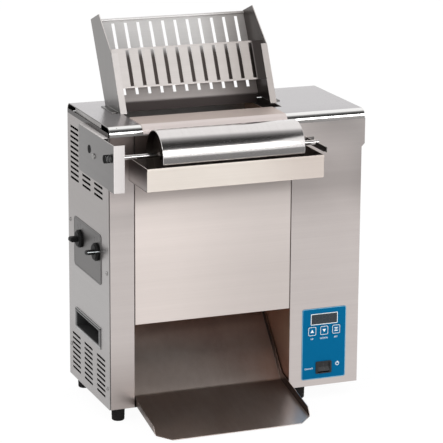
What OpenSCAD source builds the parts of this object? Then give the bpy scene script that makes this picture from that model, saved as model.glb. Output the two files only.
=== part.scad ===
// Vertical bun toaster: a two-lane bun feeder on the lid, a spreading roller over a trough,
// a heated platen between two belt conveyors, and a pull-out discharge chute.
// Millimetres. X runs across the front from the left side panel, +Y runs to the back from
// the front face, +Z runs up from the counter. place() then centres the whole on the origin.

/* [Body] */
// Width across the two side panels
body_w = 485; // [470:1:530]
// Depth from the front face to the rear panel
body_d = 231; // [228:1:270]
// Height from the underside of the base to the top of the lid
body_h = 517; // [505:1:560]
// Thickness of the outer sheet metal
sheet = 1.5; // [1:0.1:2]
// Width of the hollow column left of the toasting chamber
column_w = 47.4; // [44:0.2:60]
// Clear width of the toasting chamber
chamber_w = 301; // [285:1:330]
// How far the ear at the top of the control front reaches past the side panel
ear_out = 6; // [2:0.5:12]
// Height of that ear
ear_h = 47; // [20:1:90]
// Open seam between the left side panel and the front column
corner_gap = 1.2; // [0.6:0.1:2]
// Rise of the left side panel above the other panels, beside the lid
panel_rise = 7; // [4:0.5:8]
// Height of the front cover's lower edge above the base
cover_rise = 155; // [150:1:175]
// Shadow gap at each side of the front cover
cover_gap = 1.2; // [0.6:0.1:2]

/* [Feet] */
// Height of a rubber foot
foot_h = 25; // [18:1:40]
// Radius of a rubber foot
foot_r = 12.2; // [9:0.2:15]
// Distance of the feet from the left side panel
foot_inset_x = 22; // [18:1:28]
// Distance of the feet from the front and rear faces
foot_inset_y = 18; // [16:1:30]
// Distance between the left and the right feet
foot_span = 352; // [300:1:420]

/* [Lid] */
// Height of the lid
lid_h = 17; // [15:0.5:22]
// Radius of the rounded front and rear edges of the lid
nose_r = 13.5; // [8:0.5:14]
// Overhang of the lid at the front
lid_front = 4; // [2:0.5:8]
// Overhang of the lid at the back
lid_back = 6; // [2:0.5:10]
// Overhang of the lid past the right side panel
lid_right = 3; // [0:0.5:5]
// Gap between the lid and the left side panel beside it
lid_left = 0.5; // [0.3:0.1:2]
// Length of each rounded edge that is open at the lid's left end
lid_open = 48; // [20:1:60]
// Front edge of the throat behind the front face
throat_front = 68; // [60:1:72]
// Back edge of the throat behind the front face
throat_back = 192; // [190:1:205]
// Height of the throat strip's front lip
strip_lip = 23; // [18:0.5:24]
// Thickness of the throat strip
strip_t = 1.2; // [0.8:0.1:2]

/* [Feeder] */
// Left face of the feeder behind the left side panel
feeder_x = 58; // [54:0.5:64]
// Width of the feeder across its side plates
feeder_w = 301; // [280:1:305]
// Front corner of a side plate on the lid
feeder_foot_front = 102; // [96:1:110]
// Back corner of a side plate on the lid
feeder_foot_back = 187; // [182:1:188]
// Height of the feeder above the lid at its front corner
feeder_h = 161; // [140:1:190]
// Drop from the front top corner to the back top corner
feeder_top_drop = 17; // [10:1:25]
// Depth of the front top corner behind the front face
feeder_top_front = 222; // [205:1:235]
// Depth of the back top corner behind the front face
feeder_top_back = 268; // [255:1:280]
// Depth of the knee in the front edge behind the front face
feeder_knee_y = 152; // [145:1:165]
// Height of the knee above the lid
feeder_knee_h = 102; // [95:1:115]
// Width of the folded front edge of a side plate
feeder_flange = 10; // [8:0.5:14]
// Width of a slot in the rack and the divider
slot_w = 6; // [4:0.5:9]
// Distance from slot to slot
slot_pitch = 24.2; // [20:0.2:25]
// Number of slots
slot_count = 11; // [7:1:11]
// Height of the divider's lower edge above the lid
divider_low = 42; // [30:1:55]
// Height of the divider's upper edge above the lid
divider_high = 108; // [104:1:112]

/* [Spreading roller] */
// Radius of the roller drum
roller_r = 44; // [38:0.5:44]
// Length of the roller drum
roller_len = 268; // [220:1:290]
// Distance of the roller axis in front of the front face
roller_out = 46; // [45:0.5:50]
// Depth of the roller axis below the lid's top
roller_drop = 43.2; // [43:0.1:47]
// Radius of the roller shaft
shaft_r = 4; // [3:0.25:5]
// Length of the trough under the roller
pan_w = 330; // [326:1:334]
// Depth of the trough from the front face
pan_d = 96; // [94:1:110]
// Height of the trough
pan_h = 41.4; // [36:0.2:44]
// Gap between the roller and the trough's floor
pan_under = 8; // [5:0.1:10]
// Thickness of the trough's sheet
pan_t = 1.2; // [0.8:0.1:1.6]
// Distance of the left bracket plate from the side panel
bracket_off = 12; // [9:0.5:18]
// Reach of the left bracket in front of the front face
bracket_front = 66; // [62:1:80]
// Reach of the left bracket behind the front face
bracket_back = 128; // [110:1:150]
// Height of the left bracket
bracket_h = 84; // [70:1:95]
// Width of the left bracket's front flange
bracket_flange = 20; // [14:1:26]
// Reach of the right fork in front of the front face
fork_reach = 87; // [75:1:95]

/* [Chute] */
// Reach of the chute in front of the front face
tray_reach = 125; // [90:1:125]
// Slope of the chute floor in degrees
floor_slope = 11.4; // [8:0.2:11.4]
// Depth of the bend behind the front face
bend_y = 30; // [20:1:40]
// Slope of the chute back in degrees
back_slope = 48; // [40:1:50]
// Length of the chute back along its slope
back_len = 160; // [120:1:165]
// Height of the chute's side walls
tray_wall = 14; // [8:0.5:18]
// Thickness of the chute sheet
tray_t = 1.2; // [0.8:0.1:2]
// Gap between the chute and each chamber wall
tray_gap = 1.8; // [1.5:0.1:5]
// Width of the cut at each front corner of the chute
corner_w = 25; // [10:1:35]
// Depth of that cut
corner_d = 21; // [10:1:30]

/* [Conveyors] */
// Radius of the belt rollers
belt_roller_r = 20; // [17:0.5:21]
// Thickness of a belt
belt_t = 2; // [1:0.2:3]
// Height of the drive shafts above the base
drive_rise = 182; // [180:1:190]
// Depth of the idler shafts below the lid's top
idler_drop = 50; // [47:1:75]
// Depth of the front conveyor's shafts behind the front face
front_axis = 45.5; // [43:0.5:46]
// Radius of the drive shafts
drive_shaft_r = 5; // [4:0.25:6]
// Radius of the idler shafts
idler_shaft_r = 4; // [3:0.25:5]
// Thickness of a conveyor side plate
conveyor_plate = 2.5; // [2:0.1:4]
// Module of the gear train
gear_module = 2; // [1.9:0.05:2.05]
// Number of teeth on each gear, even so that a tooth faces a tooth
gear_teeth = 22; // [20:2:24]
// Width of a gear
gear_w = 10; // [6:0.5:12]

/* [Platen] */
// Thickness of the platen
platen_t = 24; // [18:0.5:26]
// Front face of the platen behind the front face of the body
platen_front = 103; // [98:0.5:104]
// Depth of the platen's top below the lid's top
platen_drop = 17; // [13:1:47]
// Radius of a heater rod
heater_r = 4; // [3:0.25:5]
// Thickness of the release sheet
release_t = 0.6; // [0.4:0.1:1]

/* [Side panels] */
// Length of a vent slot
vent_len = 48; // [40:1:52]
// Height of a vent slot
vent_h = 4.5; // [3:0.25:6]
// Distance from vent row to vent row
vent_pitch = 9.5; // [8:0.25:10]
// Width of a hand pocket's mouth
pocket_w = 134; // [110:1:140]
// Height of a hand pocket's mouth
pocket_h = 32; // [28:1:36]
// Depth of a hand pocket
pocket_depth = 36; // [25:1:37]
// Height of the hand pockets' lower edge above the base
pocket_rise = 104; // [100:1:108]
// Height of the knobs above the base
knob_rise = 279; // [272:1:287]
// Depth of the front knob behind the front face
front_knob_y = 62; // [60:0.5:64]
// Depth of the rear knob behind the front face
rear_knob_y = 158; // [156:0.5:162]
// Reach of the knobs from the side panel
knob_reach = 26; // [20:0.5:32]
// Radius of a knob's skirt
knob_r = 16.5; // [13:0.5:18]
// Radius of a knob's shaft
cam_shaft_r = 4; // [3:0.25:5]
// Mean radius of a cam
cam_r = 10; // [8:0.5:11]
// Radius of the pin that follows a cam
pin_r = 4; // [3:0.25:4.5]
// Millimetres that a cam pushes its pin in one radian
cam_rise = 0.97; // [0.5:0.01:1]
// Width of the dial plate
dial_w = 155; // [140:1:165]
// Height of the dial plate
dial_h = 93; // [80:1:100]
// Thickness of the dial plate
dial_t = 1; // [0.6:0.1:2]

/* [Controls] */
// Width of the control overlay
overlay_w = 88; // [84:1:96]
// Height of the control overlay
overlay_h = 136.5; // [132:0.5:145]
// Height of the overlay's lower edge above the base
overlay_rise = 12.5; // [8:0.5:18]
// Thickness of the overlay
overlay_t = 0.6; // [0.4:0.1:1]
// Width of the display window
display_w = 53; // [44:0.5:58]
// Height of the display window
display_h = 20.5; // [16:0.5:22]
// Height of the display's centre above the base
display_rise = 128; // [126:0.5:132]
// Width of a key
key_w = 16; // [12:0.5:17]
// Height of a key
key_h = 17; // [12:0.5:18]
// Distance from key to key
key_pitch = 24; // [22:0.5:26]
// Height of the keys' centres above the base
key_rise = 105.7; // [100:0.5:107]
// Travel of a key
key_travel = 0.6; // [0.3:0.1:0.8]
// Width of the rocker's bezel
bezel_w = 31.5; // [28:0.5:36]
// Height of the rocker's bezel
bezel_h = 23; // [22:0.5:26]
// Height of the rocker's centre above the base
rocker_rise = 34.5; // [30:0.5:40]
// Turn of the rocker from off to on in degrees
rocker_swing = 18; // [14:1:20]

/* [Rear] */
// Side of the cooling fan's frame
fan_side = 80; // [70:1:84]
// Depth of the cooling fan
fan_d = 25; // [20:1:30]
// Number of fan blades
fan_blades = 7; // [5:1:9]
// Radius of the bore of the cord gland
gland_r = 5; // [4:0.25:6]

/* [Hidden] */
$fn = 48;

// Clearances: a running fit, a gap between curved faces, and the overshoot of a cut
fit = 0.05;
gap = 0.3;
cut = 1;

// Levels
base_z = foot_h;
base_top = base_z + sheet;
lid_top = base_z + body_h;
body_top = lid_top - lid_h;
cover_z = base_z + cover_rise;

// Chamber and control housing, from the left side panel
chamber_l = column_w;
chamber_r = column_w + chamber_w;
house_l = chamber_r + sheet;
house_r = body_w - sheet;
house_mid = (chamber_r + body_w) / 2;
ear_x = body_w + ear_out;

// Feet
stud_r = 3;
stud_h = 5;
foot_places = [
    for (x = [foot_inset_x, foot_inset_x + foot_span])
        for (y = [foot_inset_y, body_d - foot_inset_y]) [x, y]
];

// Lid
nose_z = lid_top - nose_r;
nose_front = nose_r - lid_front;
nose_back = body_d + lid_back - nose_r;
lid_l = sheet + lid_left;
lid_r = body_w + lid_right;
rim = 12;
strip_gap = 0.4;
strip_short = 19;
corner_return = 20;

// Front cover: its side folds, lower hem and the tabs that hold it
cover_fold = 14;
cover_hem = 10;
cover_tab = 10;
low_tab = 40;
high_tab = 60;

// Feeder outline in depth and height
feeder_l = feeder_x;
feeder_r = feeder_x + feeder_w;
plate_foot_front = [feeder_foot_front, lid_top];
plate_foot_back = [feeder_foot_back, lid_top];
plate_knee = [feeder_knee_y, lid_top + feeder_knee_h];
plate_top_front = [feeder_top_front, lid_top + feeder_h];
plate_top_back = [feeder_top_back, lid_top + feeder_h - feeder_top_drop];
throat_l = feeder_l + sheet + 2.5;
throat_r = feeder_r - sheet - 2.5;
slot_mid = (feeder_l + feeder_r) / 2;
slot_span = (slot_count - 1) * slot_pitch;
rack_bead = 3;
foot_tab = 12;

// Roller and its carriers
roller_y = -roller_out;
roller_rise = body_h - roller_drop;
roller_z = base_z + roller_rise;
roller_mid = (chamber_l + chamber_r) / 2 + 2.6;
roller_l = roller_mid - roller_len / 2;
drum_wall = 2;
drum_web = 3;
drum_recess = 12;
shaft_end = 1;
pan_mid = roller_mid + 2.5;
pan_l = pan_mid - pan_w / 2;
pan_r = pan_mid + pan_w / 2;
pan_z = roller_z - roller_r - pan_under - pan_t;
pan_hem = 5;
bracket_x = -bracket_off;
bracket_z = body_top - bracket_h;
fork_gap = 8;
fork_x = pan_r + fork_gap;
fork_drop = 1;
fork_h = 9;
fork_tab = 14;
fork_lip = 5;
fork_short = 12;
cap_r = 7.5;
cap_groove = 1.2;
cap_neck = 6;
cap_out = 11;
cap_in = 3;
cap_rings = 4;
cap_ring = 1.7;
cap_wall = 2.5;
cap_x = bracket_x - cap_out;
cap_bore = cap_x + cap_wall;
standoff_r = 6;

// Standoffs of the bracket: depth, drop below the body's top, radius and height of the head
upper_standoff = [68, 33.6, 7.5, 1];
lower_standoff = [41.6, 40.8, 5, 3.5];
standoffs = [upper_standoff, lower_standoff];

// Chute
tray_l = chamber_l + tray_gap;
tray_r = chamber_r - tray_gap;
floor_lift = tray_t / cos(floor_slope) + gap;
function floor_z(y) = base_top + floor_lift + y * tan(floor_slope);
tray_front = [-tray_reach, floor_z(-tray_reach)];
tray_bend = [bend_y, floor_z(bend_y)];
tray_top = tray_bend + back_len * [cos(back_slope), sin(back_slope)];
wall_in = 1.5;
tray_wall_front = corner_d + wall_in - tray_reach;
corner_over = 0.2;
mid_slope = (floor_slope + back_slope) / 2;
half_bend = (back_slope - floor_slope) / 2;
rest_r = 3;
rest_along = back_len - 20;
rest_off = tray_t + gap + rest_r;
rest_at = tray_bend + rest_along * [cos(back_slope), sin(back_slope)]
    + rest_off * [sin(back_slope), -cos(back_slope)];
rest_len = 9;

// Conveyors and gears
gear_r = gear_module * gear_teeth / 2;
drive_z = base_z + drive_rise;
conveyor_len = body_h - idler_drop - drive_rise;
idler_z = drive_z + conveyor_len;
rear_axis = front_axis + 6 * gear_r;
belt_r = belt_roller_r + gap;
plate_gap = 4;
plate_r = 16;
plate_l = chamber_l + plate_gap;
plate_l_in = plate_l + conveyor_plate;
plate_r_in = chamber_r - plate_gap - conveyor_plate;
side_play = 2;
core_l = plate_l_in + side_play;
core_r = plate_r_in - side_play;
belt_inset = 2;
gear_x = house_l + 6;
shaft_tail = 12;
bush_wall = 3;
bush_r = drive_shaft_r + bush_wall;
bush_rim = bush_r + bush_wall;
bush_t = 2;
idler_gear_pin = 4;
pinion_y = front_axis + 4 * gear_r;
pinion_z = drive_z + 2 * gear_r;
half_tooth = 180 / gear_teeth;

// Cams: the pin stands in front of the front cam and behind the rear cam
knob_z = base_z + knob_rise;
pin_off = cam_r + pin_r + gap;
front_pin_y = front_knob_y - pin_off;
rear_pin_y = rear_knob_y + pin_off;
pin_travel = cam_rise * 2.2 + 0.6;
cam_w = 8;
cam_x = column_w - sheet - 10 - cam_w;
cam_steps = 72;
knob_back = -dial_t - gap;
knob_skirt = 7;
grip_t = 8.5;
grip_l = 31;
dial_mid = 118.5;
dial_drop = 11.5;

// Platen
platen_back = platen_front + platen_t;
platen_mid = platen_front + platen_t / 2;
platen_lift = 8;
platen_z = drive_z + platen_lift;
platen_top = lid_top - platen_drop;
platen_h = platen_top - platen_z;
platen_l = core_l;
platen_r = core_r;
platen_post = 6;
heater_tail = 12;
heater_count = 4;
function heater_z(i) = platen_z + platen_h * (0.26 + 0.18 * i);

// Controls
overlay_z = base_z + overlay_rise;
display_z = base_z + display_rise;
key_z = base_z + key_rise;
rocker_z = base_z + rocker_rise;
panel_fit = 0.25;
board_gap = 15;
board_y = sheet + board_gap;
board_t = 1.6;
board_margin = 6;
board_over = 8;
board_post = 3;
post_in = 4;
switch_half = 3;
switch_d = 3.6;
chip_l = 20;
chip_r = 14;
chip_low = 6;
chip_high = 34;
chip_d = 10.4;
display_gap = 2;
key_front = overlay_t + 1;
key_flange = 1;
key_stem = board_y - 4 - key_travel;
bezel_t = 2.2;
neck_in = 1.5;
rocker_half = bezel_h / 2 - 3.2;
rocker_w = bezel_w - 9;
rocker_y = 4.3;
rocker_pin = 2;
housing_d = 26;

// Power relay with its two terminal lugs
relay_w = 60;
relay_d = 45;
relay_h = 28;
relay_base = 6;
relay_in = 4;
lug_w = 12;
lug_h = 5;

// Fan and gland
fan_x = house_mid;
fan_rise = 75;
fan_z = base_z + fan_rise;
fan_y = body_d - sheet - fan_d;
fan_rim = 1.5;
fan_bore = fan_side / 2 - fan_rim;
fan_hub = 15;
fan_pin = 2;
gland_in = 40;
gland_rise = 20;
gland_x = house_r - gland_in;
gland_z = base_z + gland_rise;
gland_neck = 8;
gland_out = 20;

// Screws: a head, their distance from the corners, and those of the side panels by depth and height
screw_r = 4;
screw_top_r = 2.6;
screw_h = 1.8;
screw_corner = 15;
screw_front = 12;
screw_back = body_d - 10;
front_screws_low = 37;
front_screws_high = 252;
back_screws_low = 60;
back_screws_high = 300;
side_screws = [
    [screw_front, front_screws_high], [screw_front, front_screws_low],
    [screw_back, back_screws_high], [screw_back, back_screws_low]
];

// Centre of the whole object in plan
mid_x = (ear_x - knob_reach) / 2;
mid_y = (feeder_top_back - tray_reach) / 2;

module place() translate([-mid_x, -mid_y, 0]) children();

// A block given by its low and high corners
module block(low, high) translate(low) cube(high - low);

// A rod along X, Y
module rod_x(r, x0, x1, y, z) translate([x0, y, z]) rotate([0, 90, 0]) cylinder(r = r, h = x1 - x0);
module rod_y(r, x, y0, y1, z) translate([x, y0, z]) rotate([-90, 0, 0]) cylinder(r = r, h = y1 - y0);

// An outline in depth and height drawn out along X, and one in width and height along Y
module along_x(x0, x1) translate([x0, 0, 0]) rotate([90, 0, 90]) linear_extrude(x1 - x0) children();
module along_y(y0, y1) translate([0, y1, 0]) rotate([90, 0, 0]) linear_extrude(y1 - y0) children();

// A rectangle with round corners, centred
module round_rect(w, h, r) {
    square([w - 2 * r, h], center = true);
    square([w, h - 2 * r], center = true);
    for (x = [r - w / 2, w / 2 - r])
        for (y = [r - h / 2, h / 2 - r])
            translate([x, y]) circle(r = r, $fn = 24);
}

// Rows of vent slots cut through a panel that faces X, and one that faces Y
module vents_x(x0, x1, y, z, rows) {
    reach = (vent_len - vent_h) / 2;
    for (i = [0 : rows - 1])
        translate([0, y, z + i * vent_pitch]) {
            for (s = [-reach, reach]) rod_x(vent_h / 2, x0, x1, s, 0, $fn = 16);
            block([x0, -reach, -vent_h / 2], [x1, reach, vent_h / 2]);
        }
}
module vents_y(x, y0, y1, z, rows) {
    reach = (vent_len - vent_h) / 2;
    for (i = [0 : rows - 1])
        translate([x, 0, z + i * vent_pitch]) {
            for (s = [-reach, reach]) rod_y(vent_h / 2, s, y0, y1, 0, $fn = 16);
            block([-reach, y0, -vent_h / 2], [reach, y1, vent_h / 2]);
        }
}

// Vent groups of the side panels: depth, height of the lowest row above the base, rows
low_row = 18.5;
high_drop = 134.5;
high_row = body_h - high_drop;
lower_vents = [[47, low_row, 8], [119, low_row, 8], [189.5, low_row, 8]];
upper_vents = [[55.5, high_row, 3], [123, high_row, 3], [191.5, high_row, 11]];
module side_vents(x0, x1)
    for (v = concat(lower_vents, upper_vents)) vents_x(x0, x1, v[0], base_z + v[1], v[2]);

// Mouth of a hand pocket through a side panel
pocket_mid = 119;
pocket_z = base_z + pocket_rise;
pocket_wall = 2;
module pocket_hole(x0, x1) {
    y0 = pocket_mid - pocket_w / 2 - panel_fit;
    y1 = pocket_mid + pocket_w / 2 + panel_fit;
    block([x0, y0, pocket_z - panel_fit], [x1, y1, pocket_z + pocket_h + panel_fit]);
}

// Housing

module base_pan() color("silver") place()
    difference() {
        union() {
            block([sheet, sheet, base_z], [house_r, body_d - sheet, base_top]);
            block([chamber_l, 0, base_z], [chamber_r, sheet, base_top]);
        }
        for (p = foot_places)
            translate([p[0], p[1], base_z - cut]) cylinder(r = stud_r + fit, h = sheet + 2 * cut);
    }

module feet() color([0.07, 0.07, 0.07]) place()
    for (p = foot_places)
        translate([p[0], p[1], 0])
            rotate_extrude()
                polygon([
                    [0, 0], [foot_r - 2, 0], [foot_r - 0.6, 1.5], [foot_r, foot_h],
                    [stud_r, foot_h], [stud_r, foot_h + stud_h], [0, foot_h + stud_h]
                ]);

module left_side_panel() color("silver") place()
    difference() {
        union() {
            block([0, 0, base_z], [sheet, body_d, body_top + panel_rise]);
            block([0, sheet, body_top - sheet], [rim, body_d - sheet, body_top]);
        }
        side_vents(-cut, sheet + cut);
        pocket_hole(-cut, sheet + cut);
        for (y = [front_knob_y, rear_knob_y])
            rod_x(cam_shaft_r + fit, -cut, sheet + cut, y, knob_z);
    }

module left_front_column() color("silver") place() {
    x = sheet + corner_gap;
    block([x, 0, base_z], [column_w, sheet, body_top]);
    block([x, 0, base_top], [x + sheet, corner_return, body_top - sheet]);
}

// Pin that carries the back of the chute, on a chamber wall
module chute_rest(x0, x1) rod_x(rest_r, x0, x1, rest_at[0], rest_at[1]);

module left_inner_wall() color("silver") place() {
    difference() {
        block([column_w - sheet, sheet, base_top], [column_w, body_d - sheet, body_top]);
        for (y = [front_axis, rear_axis])
            rod_x(bush_r + fit, column_w - sheet - cut, column_w + cut, y, drive_z);
        for (y = [front_knob_y, rear_knob_y])
            rod_x(cam_shaft_r + fit, column_w - sheet - cut, column_w + cut, y, knob_z);
        for (y = [front_pin_y, rear_pin_y])
            block(
                [column_w - sheet - cut, y - pin_r - pin_travel, knob_z - pin_r - 1],
                [column_w + cut, y + pin_r + pin_travel, knob_z + pin_r + 1]
            );
    }
    chute_rest(column_w, column_w + rest_len);
}

module right_inner_wall() color("silver") place() {
    difference() {
        block([chamber_r, sheet, base_top], [house_l, body_d - sheet, body_top]);
        for (y = [front_axis, rear_axis])
            rod_x(bush_r + fit, chamber_r - cut, house_l + cut, y, drive_z);
        for (i = [0 : heater_count - 1])
            rod_x(heater_r + fit, chamber_r - cut, house_l + cut, platen_mid, heater_z(i));
    }
    chute_rest(chamber_r - rest_len, chamber_r);
    for (i = [1, 2])
        rod_x(idler_gear_pin, house_l, gear_x + gear_w + 2, front_axis + 2 * i * gear_r, drive_z);
}

module right_side_panel() color("silver") place()
    difference() {
        union() {
            block([house_r, sheet, base_z], [body_w, body_d, body_top]);
            block([body_w - rim, sheet, body_top - sheet], [body_w, body_d - sheet, body_top]);
        }
        side_vents(house_r - cut, body_w + cut);
        pocket_hole(house_r - cut, body_w + cut);
    }

module control_front_panel() color("silver") place()
    difference() {
        along_y(0, sheet)
            polygon([
                [chamber_r, base_z], [body_w, base_z], [body_w, body_top - ear_h - ear_out],
                [ear_x, body_top - ear_h], [ear_x, body_top], [chamber_r, body_top]
            ]);
        translate([0, -cut, 0]) control_holes(sheet + 2 * cut, panel_fit);
    }

// Holes for the display, the keys and the rocker, with their play
module control_holes(depth, play) {
    display_half = [display_w / 2 + play, display_h / 2 + play];
    key_half = [key_w / 2 + play, key_h / 2 + play];
    block(
        [house_mid - display_half[0], 0, display_z - display_half[1]],
        [house_mid + display_half[0], depth, display_z + display_half[1]]
    );
    for (i = [-1 : 1])
        translate([house_mid + i * key_pitch, 0, key_z])
            block([-key_half[0], 0, -key_half[1]], [key_half[0], depth, key_half[1]]);
    neck = [bezel_w / 2 - neck_in + play, bezel_h / 2 - neck_in + play];
    block(
        [house_mid - neck[0], 0, rocker_z - neck[1]],
        [house_mid + neck[0], depth, rocker_z + neck[1]]
    );
}

module rear_panel() color("silver") place()
    difference() {
        block([sheet, body_d - sheet, base_z], [house_r, body_d, body_top]);
        vents_y(fan_x, body_d - sheet - cut, body_d + cut, fan_z - 3 * vent_pitch, 7);
        for (x = [chamber_l + 75, chamber_r - 75])
            vents_y(x, body_d - sheet - cut, body_d + cut, base_z + high_row, 8);
        rod_y(gland_neck + fit, gland_x, body_d - sheet - cut, body_d + cut, gland_z);
    }

// Rounded edge: a quarter of a tube of inner radius r that ends in an upright lip
module nose(r, t, lip) {
    intersection() {
        difference() {
            circle(r = r + t);
            circle(r = r);
        }
        square(r + t + cut);
    }
    translate([r, -lip]) square([t, lip]);
}

module lid_nose() nose(nose_r - sheet, sheet, lid_h - nose_r);

module top_lid() color("lightgray") place()
    difference() {
        union() {
            along_x(lid_l, lid_r) {
                translate([nose_front, lid_top - sheet]) square([nose_back - nose_front, sheet]);
                translate([nose_front, nose_z]) mirror([1, 0]) lid_nose();
                translate([nose_back, nose_z]) lid_nose();
            }
            block(
                [lid_l, lid_open - lid_front, body_top],
                [lid_l + sheet, body_d + lid_back - lid_open, lid_top - sheet / 2]
            );
            block(
                [body_w - rim, nose_front, body_top],
                [body_w - rim + sheet, nose_back, lid_top - sheet / 2]
            );
        }
        block(
            [throat_l, throat_front - strip_t - fit, lid_top - sheet - cut],
            [throat_r, throat_back, lid_top + cut]
        );
    }

// Strip in front of the throat: it lies on the lid and bends down over the front edge
module throat_strip() color("lightgray") place()
    along_x(throat_l + 1, throat_r - strip_short) {
        fold = nose_front - strip_gap;
        translate([fold, lid_top]) square([throat_front - fold, strip_t]);
        translate([fold, nose_z]) mirror([1, 0]) nose(nose_r, strip_t, strip_lip - nose_r - strip_t);
        translate([throat_front - strip_t, body_top]) square([strip_t, lid_h + strip_t / 2]);
    }

module front_cover() color("gainsboro") place() {
    x0 = chamber_l + cover_gap;
    x1 = chamber_r - cover_gap;
    top = body_top - gap;
    block([x0, 0, cover_z], [x1, sheet, top]);
    block([x0, 0, cover_z], [x1, cover_hem, cover_z + sheet]);
    for (x = [x0, x1 - sheet]) block([x, 0, cover_z], [x + sheet, cover_fold, top]);
    for (z = [cover_z + low_tab, top - high_tab]) {
        block([chamber_l, sheet + gap, z], [x0 + sheet, cover_fold, z + cover_tab]);
        block([x1 - sheet, sheet + gap, z], [chamber_r, cover_fold, z + cover_tab]);
    }
}

// Feeder

// A sheet along a straight edge, thickened towards the back or, if t is negative, the front
module edge_strip(a, b, t) polygon([a, b, b + [t, 0], a + [t, 0]]);

function edge_at(a, b, z) = a + (b - a) * ((z - a[1]) / (b[1] - a[1]));

module feeder_plate(x0, x1)
    along_x(x0, x1)
        polygon([plate_foot_front, plate_knee, plate_top_front, plate_top_back, plate_foot_back]);

module feeder_fold(x0, x1) along_x(x0, x1) edge_strip(plate_foot_front, plate_knee, sheet);

module feeder_tab(x0, x1)
    block(
        [x0, feeder_foot_front + 12, lid_top],
        [x1, feeder_foot_back - 12, lid_top + sheet]
    );

module feeder_left_side() color("silver") place() {
    feeder_plate(feeder_l, feeder_l + sheet);
    feeder_fold(feeder_l, feeder_l + feeder_flange);
    feeder_tab(feeder_l - foot_tab, feeder_l + sheet);
}

module feeder_right_side() color("silver") place() {
    feeder_plate(feeder_r - sheet, feeder_r);
    feeder_fold(feeder_r - feeder_flange, feeder_r);
    feeder_tab(feeder_r - sheet, feeder_r + foot_tab);
}

// Slots through a leaning sheet between two heights above the lid
module slots(a, b, low, high, shift) {
    p = edge_at(a, b, lid_top + low);
    q = edge_at(a, b, lid_top + high);
    for (i = [0 : slot_count - 1])
        translate([slot_mid + shift - slot_span / 2 + i * slot_pitch - slot_w / 2, 0, 0])
            along_x(0, slot_w) polygon([p - [5, 0], q - [5, 0], q + [5, 0], p + [5, 0]]);
}

module feeder_rear_rack() color("silver") place() {
    lip_front = feeder_foot_back - 2 * sheet;
    bead = plate_top_back - [rack_bead + 0.4, rack_bead];
    difference() {
        union() {
            along_x(feeder_l + sheet, feeder_r - sheet)
                edge_strip(plate_foot_back, plate_top_back - [1, 2], -sheet);
            rod_x(rack_bead, feeder_l + sheet, feeder_r - sheet, bead[0], bead[1]);
        }
        slots(plate_foot_back, plate_top_back, 14, feeder_h - feeder_top_drop - 9, 11);
    }
    block(
        [throat_l + 1, lip_front, lid_top - 15],
        [throat_r - 1, lip_front + sheet, lid_top + sheet]
    );
    block(
        [throat_l + 1, lip_front, lid_top],
        [throat_r - 1, feeder_foot_back, lid_top + sheet]
    );
}

module feeder_divider() color("gainsboro") place() {
    low = edge_at(plate_foot_front, plate_knee, lid_top + divider_low);
    high = edge_at(plate_foot_front, plate_knee, lid_top + divider_high);
    difference() {
        along_x(feeder_l + 1, feeder_r - feeder_flange + 3) edge_strip(low, high, -sheet);
        slots(plate_foot_front, plate_knee, divider_low + 7, divider_high - 5, 3);
    }
    along_x(feeder_l + feeder_flange + 1, feeder_r - feeder_flange - 1)
        translate(low - [sheet, 0]) square([8, sheet]);
}

// Spreading roller

module spreader_pan() color("gainsboro") place() {
    difference() {
        block([pan_l, -pan_d, pan_z], [pan_r, 0, pan_z + pan_h]);
        block(
            [pan_l + pan_t, pan_t - pan_d, pan_z + pan_t],
            [pan_r - pan_t, -pan_t, pan_z + pan_h + cut]
        );
    }
    block(
        [pan_l, -pan_d - pan_t, pan_z + pan_h - pan_hem],
        [pan_r, -pan_d, pan_z + pan_h]
    );
}

module roller_drum() color("lightgray") place()
    translate([roller_l, roller_y, roller_z]) rotate([0, 90, 0])
        rotate_extrude($fn = 96) {
            inner = roller_r - drum_wall;
            hub = shaft_r + fit;
            far = roller_len - drum_recess;
            polygon([
                [hub, drum_recess], [inner, drum_recess], [inner, 0], [roller_r, 0],
                [roller_r, roller_len], [inner, roller_len], [inner, far], [hub, far],
                [hub, far - drum_web], [inner, far - drum_web],
                [inner, drum_recess + drum_web], [hub, drum_recess + drum_web]
            ]);
        }

module roller_shaft() color("silver") place()
    rod_x(shaft_r, cap_bore + gap, fork_x + sheet + shaft_end, roller_y, roller_z);

module left_roller_bracket() color("silver") place()
    difference() {
        union() {
            block([bracket_x, -bracket_front, bracket_z], [bracket_x + sheet, bracket_back, body_top]);
            block([bracket_x, 0, body_top - sheet], [0, bracket_back, body_top]);
            block(
                [bracket_x, -bracket_front, bracket_z],
                [bracket_x + bracket_flange, sheet - bracket_front, body_top]
            );
        }
        rod_x(cap_neck + fit, bracket_x - cut, bracket_x + sheet + cut, roller_y, roller_z);
        for (s = standoffs)
            rod_x(stud_r + fit, bracket_x - cut, bracket_x + sheet + cut, s[0], body_top - s[1]);
    }

// Ringed cap on the bracket, closed at its outer end, with a neck through the bracket
module roller_bearing_block() color([0.1, 0.1, 0.1]) place()
    difference() {
        pitch = cap_out / cap_rings;
        union() {
            rod_x(cap_r - cap_groove, cap_x, bracket_x, roller_y, roller_z);
            for (x = [cap_x : pitch : bracket_x - pitch])
                rod_x(cap_r, x, x + cap_ring, roller_y, roller_z);
            rod_x(cap_neck, bracket_x, bracket_x + sheet + cap_in, roller_y, roller_z);
        }
        rod_x(shaft_r + fit, cap_bore, bracket_x + sheet + cap_in + cut, roller_y, roller_z);
    }

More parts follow.
